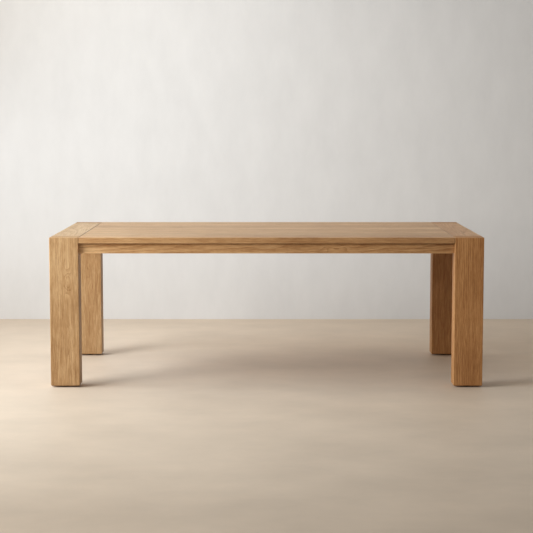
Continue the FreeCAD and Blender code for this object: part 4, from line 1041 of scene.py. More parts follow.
class Bench:
    """Models patterns about the upright line through the origin, in millimetres, and copies them."""

    @staticmethod
    def hold(*pieces: bpy.types.Object) -> None:
        """Select these pieces alone, with the first one active.

        Args:
            pieces: The pieces.
        """
        bpy.ops.object.select_all(action="DESELECT")
        for piece in pieces:
            piece.select_set(True)
        bpy.context.view_layer.objects.active = pieces[0]

    @staticmethod
    def named(name: str) -> bpy.types.Object:
        """Name the shape that was added last.

        Args:
            name: Its name.

        Returns:
            The shape.
        """
        piece = bpy.context.active_object
        piece.name = name
        return piece

    @staticmethod
    def scrap(*patterns: bpy.types.Object) -> None:
        """Throw away patterns that are used up."""
        for pattern in patterns:
            bpy.data.objects.remove(pattern, do_unlink=True)

    def drawn(self, name: str, section: Section) -> bpy.types.Object:
        """Draw a line in the XZ plane from a plane that is merged to a point, and stay in edit mode.

        Args:
            name: The name of the pattern.
            section: The line's points, as distances from the middle and heights.

        Returns:
            The line.
        """
        bpy.ops.object.select_all(action="DESELECT")
        bpy.ops.mesh.primitive_plane_add(size=MM)
        line = self.named(name)
        bpy.ops.object.mode_set(mode="EDIT")
        bpy.ops.mesh.select_mode(type="VERT")
        bpy.ops.mesh.select_all(action="SELECT")
        bpy.ops.mesh.merge(type="CENTER")
        bpy.ops.transform.translate(value=(section[0][0] * MM, 0.0, section[0][1] * MM))
        for (out, up), (next_out, next_up) in zip(section, section[1:]):
            step = ((next_out - out) * MM, 0.0, (next_up - up) * MM)
            bpy.ops.mesh.extrude_vertices_move(TRANSFORM_OT_translate={"value": step})
        return line

    @staticmethod
    def closed() -> None:
        """Merge what meets, turn the faces outwards and leave edit mode."""
        bpy.ops.mesh.select_all(action="SELECT")
        bpy.ops.mesh.remove_doubles(threshold=MERGE)
        bpy.ops.mesh.normals_make_consistent(inside=False)
        bpy.ops.object.mode_set(mode="OBJECT")

    @staticmethod
    def pick_faces(piece: bpy.types.Object, wanted: Callable[[bpy.types.MeshPolygon], bool]) -> None:
        """Select the faces of a piece that pass a test, alone, and go into edit mode.

        Args:
            piece: The piece.
            wanted: The test.
        """
        bpy.ops.object.mode_set(mode="OBJECT")
        for part in (*piece.data.vertices, *piece.data.edges):
            part.select = False
        for face in piece.data.polygons:
            face.select = wanted(face)
        bpy.ops.object.mode_set(mode="EDIT")
        bpy.ops.mesh.select_mode(type="FACE")

    def turned(self, name: str, section: Section, steps: int = 40) -> bpy.types.Object:
        """Turn a half section about the upright line.

        Args:
            name: The name of the pattern.
            section: The half section's points, as distances from the middle and heights.
            steps: How many flats stand for the round.

        Returns:
            The turned shape.
        """
        piece = self.drawn(name, section)
        bpy.ops.mesh.select_all(action="SELECT")
        bpy.ops.mesh.spin(steps=steps, angle=math.tau, center=(0.0, 0.0, 0.0), axis=(0.0, 0.0, 1.0))
        self.closed()
        return piece

    def threaded(self, name: str, core: float, pitch: float, envelope: Section,
                 steps: int = 20) -> bpy.types.Object:
        """Wind a screw thread about the upright line and turn it down to an envelope.

        Args:
            name: The name of the pattern.
            core: The radius at the root of the thread.
            pitch: Its rise in one turn.
            envelope: The half section that holds the thread, just wider than its crest.
            steps: How many flats stand for one turn.

        Returns:
            The threaded rod.
        """
        inside, lead, flat, spare_turns = 0.03, 2.27, 0.16, 4
        crest = max(out for out, _ in envelope) - inside
        low = min(up for _, up in envelope) - pitch
        high = max(up for _, up in envelope) + pitch
        start = low - lead * pitch
        rod = self.drawn(name, [
            (core, start), (crest, start + (1 - flat) / 2 * pitch), (crest, start + (1 + flat) / 2 * pitch),
            (core, start + pitch)])
        bpy.ops.object.mode_set(mode="OBJECT")
        winding = rod.modifiers.new("winding", "SCREW")
        winding.axis = "Z"
        winding.angle = math.tau
        winding.screw_offset = pitch * MM
        winding.iterations = math.ceil((high - low) / pitch) + spare_turns
        winding.steps = winding.render_steps = steps
        bpy.ops.object.modifier_apply(modifier=winding.name)
        bpy.ops.object.mode_set(mode="EDIT")
        bpy.ops.mesh.select_all(action="SELECT")
        bpy.ops.mesh.remove_doubles(threshold=MERGE)
        for height, way in ((low, -1.0), (high, 1.0)):
            bpy.ops.mesh.select_all(action="SELECT")
            bpy.ops.mesh.bisect(
                plane_co=(0.0, 0.0, height * MM), plane_no=(0.0, 0.0, way), use_fill=True, clear_outer=True)
        self.closed()
        self.carve(rod, Carving.KEEP, self.turned("thread_envelope", envelope))
        return rod

    def hexagon(self, name: str, flats: float, low: float, high: float) -> bpy.types.Object:
        """Make a hexagon head with turned corners.

        Args:
            name: The name of the pattern.
            flats: The width across the flats.
            low: The height of its lower face.
            high: The height of its upper face.

        Returns:
            The head.
        """
        face_share, lower = 0.47, 0.4
        corner, face = flats / math.sqrt(3), face_share * flats
        fall = (corner - face) / 2
        bpy.ops.object.select_all(action="DESELECT")
        bpy.ops.mesh.primitive_cylinder_add(
            vertices=6, radius=corner * MM, depth=(high - low) * MM,
            location=(0.0, 0.0, (low + high) / 2 * MM), rotation=(0.0, 0.0, math.radians(30.0)))
        head = self.named(name)
        bpy.ops.object.transform_apply(location=True, rotation=True, scale=True)
        self.carve(head, Carving.KEEP, self.turned("head_turning", [
            (0.0, low), (face + lower * (corner - face), low), (corner, low + lower * fall),
            (corner, high - fall), (face, high), (0.0, high)]))
        return head

    def block(self, name: str, low: Place, high: Place) -> bpy.types.Object:
        """Saw a block between two corners.

        Args:
            name: The name of the pattern.
            low: Its lowest corner.
            high: Its highest corner.

        Returns:
            The block.
        """
        bpy.ops.object.select_all(action="DESELECT")
        middle = (Vector(low) + Vector(high)) / 2 * MM
        bpy.ops.mesh.primitive_cube_add(size=1.0, location=middle, scale=(Vector(high) - Vector(low)) * MM)
        piece = self.named(name)
        bpy.ops.object.transform_apply(location=True, rotation=True, scale=True)
        return piece

    def carve(self, piece: bpy.types.Object, carving: Carving, tool: bpy.types.Object) -> None:
        """Cut, join or trim a piece by another shape, which is used up.

        Args:
            piece: The piece.
            carving: What the other shape does.
            tool: The other shape.
        """
        self.hold(piece)
        step = piece.modifiers.new("carving", "BOOLEAN")
        step.operation = carving.value
        step.solver = "EXACT"
        step.object = tool
        bpy.ops.object.modifier_apply(modifier=step.name)
        self.scrap(tool)

    def ease(self, piece: bpy.types.Object, width: float, segments: int = 2) -> None:
        """Round the sharp edges of a piece.

        Args:
            piece: The piece.
            width: The width of the rounding.
            segments: How many flats it has.
        """
        self.hold(piece)
        step = piece.modifiers.new("easing", "BEVEL")
        step.width = width * MM
        step.segments = segments
        step.limit_method = "ANGLE"
        bpy.ops.object.modifier_apply(modifier=step.name)

    def copies(self, pattern: bpy.types.Object, name: str, places: Sequence[Matrix]) -> bpy.types.Object:
        """Copy a pattern to each place, each with its own mesh, and keep them as one piece.

        Args:
            pattern: The pattern.
            name: The name of the piece.
            places: Where each copy goes.

        Returns:
            The piece, its place in its mesh.
        """
        self.hold(pattern)
        bpy.ops.object.mode_set(mode="EDIT")
        bpy.ops.mesh.select_all(action="SELECT")
        bpy.ops.mesh.quads_convert_to_tris(quad_method="BEAUTY", ngon_method="BEAUTY")
        self.closed()
        made = []
        for place in places:
            self.hold(pattern)
            bpy.ops.object.duplicate(linked=False)
            copy = bpy.context.active_object
            copy.matrix_world = place
            made.append(copy)
        self.hold(*made)
        bpy.ops.object.transform_apply(location=True, rotation=True, scale=True)
        if len(made) > 1:
            bpy.ops.object.join()
        bpy.ops.object.shade_smooth_by_angle(angle=SMOOTH_ANGLE)
        piece = made[0]
        piece.name = piece.data.name = name
        return piece


def seated(place: Place, head: Place = (0.0, 0.0, 1.0)) -> Matrix:
    """Stand a pattern at a place, in millimetres, with its head along a direction."""
    turn = Vector((0.0, 0.0, 1.0)).rotation_difference(Vector(head)).to_matrix().to_4x4()
    return Matrix.Translation(Vector(place) * MM) @ turn


def rounding(start: Point, corner: Point, end: Point, steps: int = 3) -> list[Point]:
    """Round a corner of an outline by a quarter of an ellipse.

    Args:
        start: Where the round begins.
        corner: The sharp corner.
        end: Where the round ends.
        steps: How many straight steps stand for it.

    Returns:
        The points from start to end.
    """
    points = []
    for step in range(steps + 1):
        turn = math.pi / 2 * step / steps
        from_start, from_end = 1.0 - math.sin(turn), 1.0 - math.cos(turn)
        points.append(tuple(
            there + (first - there) * from_start + (last - there) * from_end
            for first, there, last in zip(start, corner, end)))
    return points


def fit_piece(piece: bpy.types.Object, body: str, node: str, made: bpy.types.Material) -> None:
    """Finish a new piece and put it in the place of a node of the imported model.

    Args:
        piece: The piece.
        body: The body that it rides on.
        node: The node that it stands for.
        made: The piece's material.
    """
    piece.data.materials.clear()
    piece.data.materials.append(made)
    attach(piece, body)
    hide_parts(node)
    LOG.info("%s stands for %s: %d faces, %s", piece.name, node, len(piece.data.polygons), made.name)


@dataclass(frozen=True)
class Setting:
    """Where the boards of the table's back right quarter stand, in millimetres.

    Attributes:
        underside: The height of the top's underside.
        long_apron: The inner face of the long apron.
        end_apron: The inner face of the end apron.
        rail: The middle of the cross rail.
        leg_low: The leg's corner nearest the middle of the table.
        leg_high: The leg's farthest corner.
    """

    underside: float
    long_apron: float
    end_apron: float
    rail: float
    leg_low: Place
    leg_high: Place

    @classmethod
    def read(cls) -> "Setting":
        """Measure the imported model.

        Returns:
            The setting.
        """
        rail_low, rail_high = measured("cross_rail_right")
        return cls(
            measured("top_plank_1")[0][2], measured("back_apron")[0][1], measured("right_end_apron")[0][0],
            (rail_low[0] + rail_high[0]) / 2, *measured("leg_back_right"))


@dataclass
class WoodScrew:
    """A round-headed wood screw with a cross recess, head up and seated at zero, in millimetres."""

    length: float
    radius: float = 2.2
    core: float = 1.45
    pitch: float = 2.0
    point: float = 4.0
    tip: float = 0.12
    neck: float = 3.0
    neck_share: float = 0.88
    run_in: float = 0.6
    overlap: float = 1.0
    root_share: float = 0.7
    root_lap: float = 0.9
    head_radius: float = 4.6
    head_height: float = 3.0
    head_rim: float = 1.0
    head_ease: Point = (0.2, 0.3)
    seat_fall: float = 0.5
    recess_length: float = 6.0
    recess_width: float = 1.4
    recess_depth: float = 1.9
    recess_taper: float = 0.55
    recess_lift: float = 0.1

    def build(self, bench: Bench) -> bpy.types.Object:
        """Model the screw.

        Args:
            bench: The bench to model it on.

        Returns:
            The screw.
        """
        reach, top, crest, end = self.head_radius, self.head_height, self.radius, -self.length
        slim, under, (out, up) = self.neck_share * self.radius, -self.neck, self.head_ease
        screw = bench.turned("wood_screw", [
            *rounding((0.0, top), (reach, top), (reach, self.head_rim), steps=6), (reach, up),
            (reach - out, 0.0), (crest, 0.0), (slim, -self.seat_fall), (slim, under), (0.0, under)])
        bench.carve(screw, Carving.JOIN, bench.threaded("screw_thread", self.core, self.pitch, [
            (0.0, self.overlap + under), (self.root_share * self.core, self.root_lap + under),
            (crest, under - self.run_in), (crest, self.point + end), (self.tip, end), (0.0, end)],
            steps=16))
        long_half, short_half = self.recess_length / 2, self.recess_width / 2
        recess = self._recess(bench, long_half, short_half, 0.0)
        bench.carve(recess, Carving.JOIN, self._recess(bench, short_half, long_half, self.recess_lift))
        bench.carve(screw, Carving.CUT, recess)
        return screw

    def _recess(self, bench: Bench, across: float, along: float, lift: float) -> bpy.types.Object:
        """Shape one bar of the cross recess, narrower at its floor.

        Args:
            bench: The bench to model it on.
            across: Half its size along X.
            along: Half its size along Y.
            lift: How far it is lifted, so that two bars share no face.

        Returns:
            The bar.
        """
        floor, roof = self.head_height - self.recess_depth + lift, self.head_height + self.overlap + lift
        bar = bench.block("recess_bar", (-across, -along, floor), (across, along, roof))
        bench.pick_faces(bar, lambda face: face.normal.z < -0.5)
        bpy.ops.transform.resize(value=(self.recess_taper, self.recess_taper, 1.0))
        bpy.ops.object.mode_set(mode="OBJECT")
        return bar


@dataclass
class TopFastenings:
    """The wooden buttons, and the screws that hold the top down on the underframe, in millimetres."""

    setting: Setting
    planks: int = 8
    screw_length: float = 30.0
    button_width: float = 34.0
    button_back: float = 1.0
    button_front: float = 45.0
    button_height: float = 22.0
    tongue_end: float = -8.0
    tongue_high: float = -12.0
    tongue_low: float = -19.0
    screw_inset: float = 26.0
    hole: float = 2.4
    sink: float = 6.0
    sink_floor: float = -14.0
    easing: float = 0.9
    overshoot: float = 1.0

    def build_button(self, bench: Bench) -> bpy.types.Object:
        """Saw a button, draw out its tongue, ease its edges and bore it for its screw.

        Args:
            bench: The bench to model it on.

        Returns:
            The button.
        """
        half = self.button_width / 2
        button = bench.block(
            "top_button", (-half, self.button_back, -self.button_height), (half, self.button_front, 0.0))
        bpy.ops.object.mode_set(mode="EDIT")
        for height in (self.tongue_high, self.tongue_low):
            bpy.ops.mesh.select_all(action="SELECT")
            bpy.ops.mesh.bisect(plane_co=(0.0, 0.0, height * MM), plane_no=(0.0, 0.0, 1.0))
        low, high = self.tongue_low * MM, self.tongue_high * MM
        bench.pick_faces(button, lambda face: face.normal.y < -0.5 and low < face.center.z < high)
        draw = (0.0, (self.tongue_end - self.button_back) * MM, 0.0)
        bpy.ops.mesh.extrude_region_move(TRANSFORM_OT_translate={"value": draw})
        bench.closed()
        bench.ease(button, self.easing)
        above, below = self.overshoot, -self.button_height - self.overshoot
        drill = bench.turned("button_drill", [
            (0.0, above), (self.hole, above), (self.hole, self.sink_floor), (self.sink, self.sink_floor),
            (self.sink, below), (0.0, below)])
        drill.data.transform(Matrix.Translation((0.0, self.screw_inset * MM, 0.0)))
        bench.carve(button, Carving.CUT, drill)
        return button

    def long_places(self) -> list[Place]:
        """List the buttons on the long aprons: along, across and turn in degrees."""
        return [(step * self.setting.rail / 2, side * self.setting.long_apron, 90.0 + 90.0 * side)
                for side in (-1, 1) for step in (-3, -1, 1, 3)]

    def end_places(self) -> list[Place]:
        """List the buttons on the end aprons: along, across and turn in degrees."""
        return [(side * self.setting.end_apron, step * self.setting.leg_low[1] / 2, 90.0 * side)
                for side in (-1, 1) for step in (-1, 0, 1)]

    def rail_places(self, seat: float) -> list[Place]:
        """List where the rail screws seat: one in each plank under each rail.

        Args:
            seat: The height of their seats.

        Returns:
            The places.
        """
        pitch, middle = 2 * self.setting.leg_high[1] / self.planks, (self.planks - 1) / 2
        return [(rail * self.setting.rail, (plank - middle) * pitch, seat)
                for rail in (-1, 0, 1) for plank in range(self.planks)]

    def build(self, bench: Bench, finishes: Finishes) -> None:
        """Set the buttons and every screw.

        Args:
            bench: The bench to model them on.
            finishes: The finishes of the table.
        """
        button, screw = self.build_button(bench), WoodScrew(self.screw_length).build(bench)
        fall = Vector((0.0, self.screw_inset * MM, self.sink_floor * MM))
        underside, seats = self.setting.underside, []
        for name, places, lie in (("long_side_buttons", self.long_places(), Lie.END_BOARD),
                                  ("end_side_buttons", self.end_places(), Lie.PLANK)):
            stands = [
                seated((along, across, underside)) @ Matrix.Rotation(math.radians(turn), 4, "Z")
                for along, across, turn in places]
            piece = bench.copies(button, name, stands)
            fit_piece(piece, "table", "top_buttons", finishes.beech(name, lie))
            seats += [tuple(stand @ fall / MM) for stand in stands]
        rail_seats = self.rail_places(underside + self.sink_floor)
        for name, node, places in (("threaded_button_screws", "button_screws", seats),
                                   ("threaded_rail_screws", "rail_screws", rail_seats)):
            piece = bench.copies(screw, name, [seated(place, (0.0, 0.0, -1.0)) for place in places])
            fit_piece(piece, "table", node, finishes.zinc)
        bench.scrap(button, screw)


@dataclass
class LegFastenings:
    """The bolts, washers, inserts and screws of the leg brackets, in millimetres."""

    setting: Setting
    long_line: float = 474.0
    end_line: float = 1014.0
    heights: tuple[float, float] = (692.0, 716.0)
    sheet: float = 4.0
    screw_inset: float = 26.0
    screw_length: float = 22.0
    bolt_radius: float = 4.0
    bolt_core: float = 3.25
    bolt_pitch: float = 1.25
    bolt_length: float = 30.0
    bolt_flats: float = 13.0
    bolt_head: float = 5.3
    bolt_chamfer: float = 1.0
    neck_overlap: float = 0.7
    neck_share: float = 0.95
    neck_end: float = 1.3
    root_share: float = 0.8
    thread_start: float = 1.9
    groove_share: float = 0.9
    groove_end: float = 2.4
    washer: float = 1.6
    washer_radius: float = 8.0
    washer_bore: float = 4.5
    washer_ease: float = 0.25
    insert_radius: float = 6.0
    insert_core: float = 5.2
    insert_pitch: float = 3.0
    insert_bore: float = 4.1
    insert_length: float = 25.0
    insert_run: float = 1.7
    insert_ease: Point = (0.25, 0.45)
    mouth: Point = (0.8, 0.6)
    slot_width: float = 1.66
    slot_depth: float = 2.2
    overshoot: float = 1.0

    def build_bolt(self, bench: Bench) -> bpy.types.Object:
        """Model a hexagon bolt, head up and seated at zero.

        Args:
            bench: The bench to model it on.

        Returns:
            The bolt.
        """
        end, crest, chamfer, lap = -self.bolt_length, self.bolt_radius, self.bolt_chamfer, self.neck_overlap
        slim, groove = self.neck_share * crest, self.groove_share * self.bolt_core
        bolt = bench.hexagon("bracket_bolt", self.bolt_flats, 0.0, self.bolt_head)
        thread = bench.threaded("bolt_thread", self.bolt_core, self.bolt_pitch, [
            (0.0, -lap), (self.root_share * crest, -lap), (crest, -self.thread_start),
            (crest, end + chamfer), (crest - chamfer, end), (0.0, end)])
        neck = bench.turned("bolt_neck", [
            (0.0, lap), (slim, lap), (slim, -self.neck_end), (groove, -self.groove_end),
            (0.0, -self.groove_end)], steps=36)
        bench.carve(bolt, Carving.JOIN, neck)
        bench.carve(bolt, Carving.JOIN, thread)
        return bolt

    def build_washer(self, bench: Bench) -> bpy.types.Object:
        """Stamp a washer with eased rims, its lower face at zero.

        Args:
            bench: The bench to model it on.

        Returns:
            The washer.
        """
        bore, rim, top, ease = self.washer_bore, self.washer_radius, self.washer, self.washer_ease
        return bench.turned("bracket_washer", [
            (bore, ease), (bore + ease, 0.0), (rim - ease, 0.0), (rim, ease), (rim, top - ease),
            (rim - ease, top), (bore + ease, top), (bore, top - ease), (bore, ease)])

    def build_insert(self, bench: Bench) -> bpy.types.Object:
        """Model a threaded insert with a slotted mouth at zero.

        Args:
            bench: The bench to model it on.

        Returns:
            The insert.
        """
        end, crest, core, bore = -self.insert_length, self.insert_radius, self.insert_core, self.insert_bore
        run, past, half = self.insert_run, self.overshoot, self.slot_width / 2
        (near_ease, far_ease), (flare, sunk) = self.insert_ease, self.mouth
        insert = bench.threaded("leg_insert", core, self.insert_pitch, [
            (0.0, 0.0), (core - near_ease, 0.0), (crest, -run), (crest, end + run), (core - far_ease, end),
            (0.0, end)], steps=24)
        bench.carve(insert, Carving.CUT, bench.turned("insert_bore", [
            (0.0, past), (bore + flare, past), (bore, -sunk), (bore, end - past), (0.0, end - past)],
            steps=36))
        for side in (-1, 1):
            low, high = sorted((side * (crest + past), side * (bore - past)))
            bench.carve(insert, Carving.CUT, bench.block(
                "insert_slot", (low, -half, -self.slot_depth), (high, half, past)))
        return insert

    def _places(self, long_spot: Point, end_spot: Point, into_leg: bool) -> list[Matrix]:
        """List where a pattern stands, at both heights of every bracket.

        Args:
            long_spot: Its X and Y on the bracket of a long apron.
            end_spot: Its X and Y on the bracket of an end apron.
            into_leg: Whether it goes into the leg, and not into the apron.

        Returns:
            The places.
        """
        made = []
        for corner in Corner:
            _, end, side = corner.value
            heads = [(-end, 0, 0), (0, -side, 0)]
            if not into_leg:
                heads.reverse()
            for up in self.heights:
                for (x, y), head in zip((long_spot, end_spot), heads):
                    made.append(seated((end * x, side * y, up), head))
        return made

    def bolt_places(self, lift: float) -> list[Matrix]:
        """List where a pattern stands on the legs' bolt lines, lifted off the leg."""
        inner_x, inner_y, _ = self.setting.leg_low
        return self._places((inner_x - lift, self.long_line), (self.end_line, inner_y - lift), True)

    def screw_places(self) -> list[Matrix]:
        """List where the bracket screws stand on the aprons.

        Returns:
            The places.
        """
        inner_x, inner_y, _ = self.setting.leg_low
        return self._places(
            (inner_x - self.screw_inset, self.setting.long_apron - self.sheet),
            (self.setting.end_apron - self.sheet, inner_y - self.screw_inset), False)

    def build(self, bench: Bench, finishes: Finishes) -> None:
        """Set every bolt, washer, insert and screw, and finish the brackets.

        Args:
            bench: The bench to model them on.
            finishes: The finishes of the table.
        """
        rows = (
            ("slotted_leg_inserts", "leg_inserts", "brass_inserts", self.build_insert(bench),
             self.bolt_places(0.0), finishes.brass),
            ("stamped_bracket_washers", "bracket_washers", "zinc_fasteners", self.build_washer(bench),
             self.bolt_places(self.sheet), finishes.zinc),
            ("threaded_bracket_bolts", "bracket_bolts", "zinc_fasteners", self.build_bolt(bench),
             self.bolt_places(self.sheet + self.washer), finishes.zinc),
            ("threaded_bracket_screws", "bracket_screws", "zinc_fasteners",
             WoodScrew(self.screw_length).build(bench), self.screw_places(), finishes.zinc),
        )
        for name, node, slot, pattern, places, made in rows:
            fit_piece(bench.copies(pattern, name, places), "table", node, made)
            bench.scrap(pattern)
        for corner in Corner:
            for kind in ("long", "end"):
                wear_material(f"{kind}_bracket_{corner.label}", finishes.zinc)


@dataclass
class LevellingFeet:
    """The levelling feet: insert, screw, swivel pad and soft sole under each leg, in millimetres."""

    setting: Setting
    recess_top: float = 21.0
    flange: float = 11.0
    flange_chamfer: float = 0.6
    lip: float = 2.0
    barrel: float = 8.0
    barrel_core: float = 7.0
    barrel_pitch: float = 3.0
    barrel_length: float = 25.0
    barrel_lap: float = 0.5
    barrel_start: float = 1.0
    barrel_taper: Point = (0.6, 2.0)
    flange_foot: Point = (0.3, 0.8)
    flange_rise: float = 1.3
    bore: float = 5.1
    mouth: Point = (1.5, 0.5)
    slot_width: float = 2.5
    slot_inset: float = 2.0
    slot_roof: float = 0.7
    overshoot: float = 1.0
    stem: float = 5.0
    stem_core: float = 4.1
    stem_pitch: float = 1.5
    stem_top: float = 65.0
    stem_chamfer: float = 1.5
    stem_starts: Place = (1.2, 1.3, 2.6)
    root_share: float = 0.8
    groove_share: float = 0.97
    cone_share: float = 0.9
    groove_ends: Point = (2.0, 2.5)
    collar_flats: float = 17.0
    collar_low: float = 8.0
    collar_high: float = 13.0
    neck: float = 3.5
    disc: float = 5.0
    disc_low: float = 3.6
    disc_high: float = 6.0
    disc_ease: Point = (0.5, 0.3)
    collar_laps: Point = (1.0, 0.5)
    pad: float = 23.0
    pad_base: float = 1.0
    pad_rim: float = 5.0
    pad_top: float = 7.95
    pad_shoulder: float = 13.0
    pad_round: float = 0.9
    pad_run: float = 1.0
    seat_ease: Point = (0.3, 0.2)
    hole_ease: Point = (0.5, 0.4)
    ring_groove: Section = ((19.6, 0.0), (19.2, 0.35), (18.4, 0.35), (18.0, 0.0))
    fit: float = 0.1
    sole: float = 20.0
    sole_top: float = 2.5
    sole_round: float = 1.0

    def build_insert(self, bench: Bench) -> bpy.types.Object:
        """Model the flanged insert, its flange under zero and its barrel above.

        Args:
            bench: The bench to model it on.

        Returns:
            The insert.
        """
        crest, core, top, bore = self.barrel, self.barrel_core, self.barrel_length, self.bore
        lip, rim, chamfer, past = -self.lip, self.flange, self.flange_chamfer, self.overshoot
        lap, rise = self.barrel_lap, self.flange_rise
        (slim, long), (flare, sunk) = self.barrel_taper, self.mouth
        insert = bench.threaded("foot_insert", core, self.barrel_pitch, [
            (0.0, -lap), (core - lap, -lap), (crest, self.barrel_start), (crest, top - long),
            (core - slim, top), (0.0, top)], steps=24)
        bench.carve(insert, Carving.JOIN, bench.turned("insert_flange", [
            (0.0, lip), (rim - chamfer, lip), (rim, chamfer + lip), (rim, 0.0),
            (core - self.flange_foot[0], 0.0), (core - self.flange_foot[1], rise), (0.0, rise)]))
        bench.carve(insert, Carving.CUT, bench.turned("insert_bore", [
            (0.0, lip - past), (bore + flare, lip - past), (bore, sunk + lip), (bore, top + past),
            (0.0, top + past)], steps=44))
        half = self.slot_width / 2
        for end in (-1, 1):
            low, high = sorted((end * (rim + past), end * (bore + self.slot_inset)))
            bench.carve(insert, Carving.CUT, bench.block(
                "drive_slot", (low, -half, lip - past), (high, half, -self.slot_roof)))
        return insert

    def build_screw(self, bench: Bench) -> bpy.types.Object:
        """Model the levelling screw: threaded stem, hexagon collar, neck and swivel disc.

        Args:
            bench: The bench to model it on.

        Returns:
            The screw.
        """
        stem, top, chamfer = self.stem, self.stem_top, self.stem_chamfer
        groove = self.groove_share * self.stem_core
        under, over, disc, neck = self.collar_low, self.collar_high, self.disc, self.neck
        first, second, third = (over + start for start in self.stem_starts)
        groove_end, cone_end = (over + end for end in self.groove_ends)
        neck_start, disc_end = (under + lap for lap in self.collar_laps)
        low, high, (low_ease, high_ease) = self.disc_low, self.disc_high, self.disc_ease
        screw = bench.hexagon("levelling_screw", self.collar_flats, under, over)
        thread = bench.threaded("stem_thread", self.stem_core, self.stem_pitch, [
            (0.0, first), (self.root_share * stem, second), (stem, third), (stem, top - chamfer),
            (stem - chamfer, top), (0.0, top)])
        bench.carve(thread, Carving.JOIN, bench.turned("collar_neck", [
            (0.0, neck_start), (groove, neck_start), (groove, groove_end),
            (self.cone_share * groove, cone_end), (0.0, cone_end)], steps=36))
        bench.carve(screw, Carving.JOIN, thread)
        bench.carve(screw, Carving.JOIN, bench.turned("swivel_disc", [
            (0.0, low), (disc - low_ease, low), (disc, low + low_ease), (disc, high - high_ease),
            (disc - high_ease, high), (neck, high), (neck, disc_end), (0.0, disc_end)]))
        return screw

    def _cone(self, out: float, sunk: float = 0.0) -> Point:
        """Give the point of the pad's cone at a distance from the middle, or sunk under it."""
        slope = (self.pad_top - self.pad_rim) / (self.pad_shoulder - self.pad)
        return out, self.pad_rim + (out - self.pad) * slope - sunk

    def build_pad(self, bench: Bench) -> bpy.types.Object:
        """Turn the moulded pad: rounded rim, ringed cone and a socket for the screw's disc.

        Args:
            bench: The bench to model it on.

        Returns:
            The pad.
        """
        seat, base, rim, top = self.sole + self.fit, self.pad_base, self.pad, self.pad_top
        edge, shoulder, ease, run = self.pad_rim, self.pad_shoulder, self.pad_round, self.pad_run
        (seat_out, seat_up), (hole_out, hole_down) = self.seat_ease, self.hole_ease
        hole, socket = self.neck + self.fit, self.disc + self.fit
        socket_low, socket_high = self.disc_low - self.fit, self.disc_high + self.fit
        return bench.turned("swivel_pad", [
            (0.0, self.sole_top), (seat, self.sole_top), (seat, base + seat_up), (seat + seat_out, base),
            *rounding((rim - ease, base), (rim, base), (rim, base + ease)),
            *rounding((rim, edge - ease), (rim, edge), self._cone(rim - run)),
            *(self._cone(out, sunk) for out, sunk in self.ring_groove),
            *rounding(self._cone(shoulder + ease), (shoulder, top), (shoulder - run, top)),
            (self.neck + hole_out, top), (hole, top - hole_down), (hole, socket_high),
            (socket, socket_high), (socket, socket_low), (0.0, socket_low)], steps=64)

    def build_sole(self, bench: Bench) -> bpy.types.Object:
        """Turn the soft sole with a worn, rounded edge.

        Args:
            bench: The bench to model it on.

        Returns:
            The sole.
        """
        rim, top, ease = self.sole, self.sole_top, self.sole_round
        return bench.turned("soft_sole", [
            (0.0, 0.0), *rounding((rim - ease, 0.0), (rim, 0.0), (rim, ease)), (rim, top),
            (0.0, top)], steps=64)

    def build(self, bench: Bench, finishes: Finishes) -> None:
        """Set a foot under each leg.

        Args:
            bench: The bench to model them on.
            finishes: The finishes of the table.
        """
        insert, screw = self.build_insert(bench), self.build_screw(bench)
        pad, sole = self.build_pad(bench), self.build_sole(bench)
        x, y, _ = ((low + high) / 2 for low, high in zip(self.setting.leg_low, self.setting.leg_high))
        spots = {corner.label: (corner.value[1] * x, corner.value[2] * y) for corner in Corner}
        stands = [seated((*spot, self.recess_top)) for spot in spots.values()]
        piece = bench.copies(insert, "flanged_foot_inserts", stands)
        fit_piece(piece, "table", "foot_inserts", finishes.brass)
        rows = (
            (screw, "levelling_screw", "screw", "foot_screw", "steel_levellers", finishes.steel),
            (pad, "swivel_pad", "foot", "foot_pad", "nylon_pads", finishes.nylon),
            (sole, "soft_sole", "foot", "foot_sole", "felt_soles", finishes.felt),
        )
        for label, spot in spots.items():
            for pattern, name, body, node, slot, made in rows:
                piece = bench.copies(pattern, f"{name}_{label}", [seated((*spot, 0.0))])
                fit_piece(piece, f"{body}_{label}", f"{node}_{label}", made)
        bench.scrap(insert, screw, pad, sole)


@dataclass(frozen=True)
class SoftBox:
    """A flat soft lamp.

    Attributes:
        name: The lamp's name.
        power: Its power in watts.
        size: Its width and height.
        place: Where its middle hangs.
        target: What it faces.
        tint: Its colour.
        spread: How wide its light fans out, in degrees.
    """

    name: str
    power: float
    size: tuple[float, float]
    place: Place
    target: Place
    tint: Colour
    spread: float = 180.0

    def hang(self) -> None:
        """Hang the lamp, seen neither by the camera nor in polished surfaces."""
        lamp = bpy.data.lights.new(self.name, "AREA")
        lamp.shape = "RECTANGLE"
        lamp.size, lamp.size_y = self.size
        lamp.energy = self.power
        lamp.color = self.tint
        lamp.spread = math.radians(self.spread)
        hung = bpy.data.objects.new(self.name, lamp)
        bpy.context.scene.collection.objects.link(hung)
        hung.location = self.place
        hung.rotation_euler = (Vector(self.target) - Vector(self.place)).to_track_quat("-Z", "Y").to_euler()
        hung.visible_camera = False
        hung.visible_glossy = False


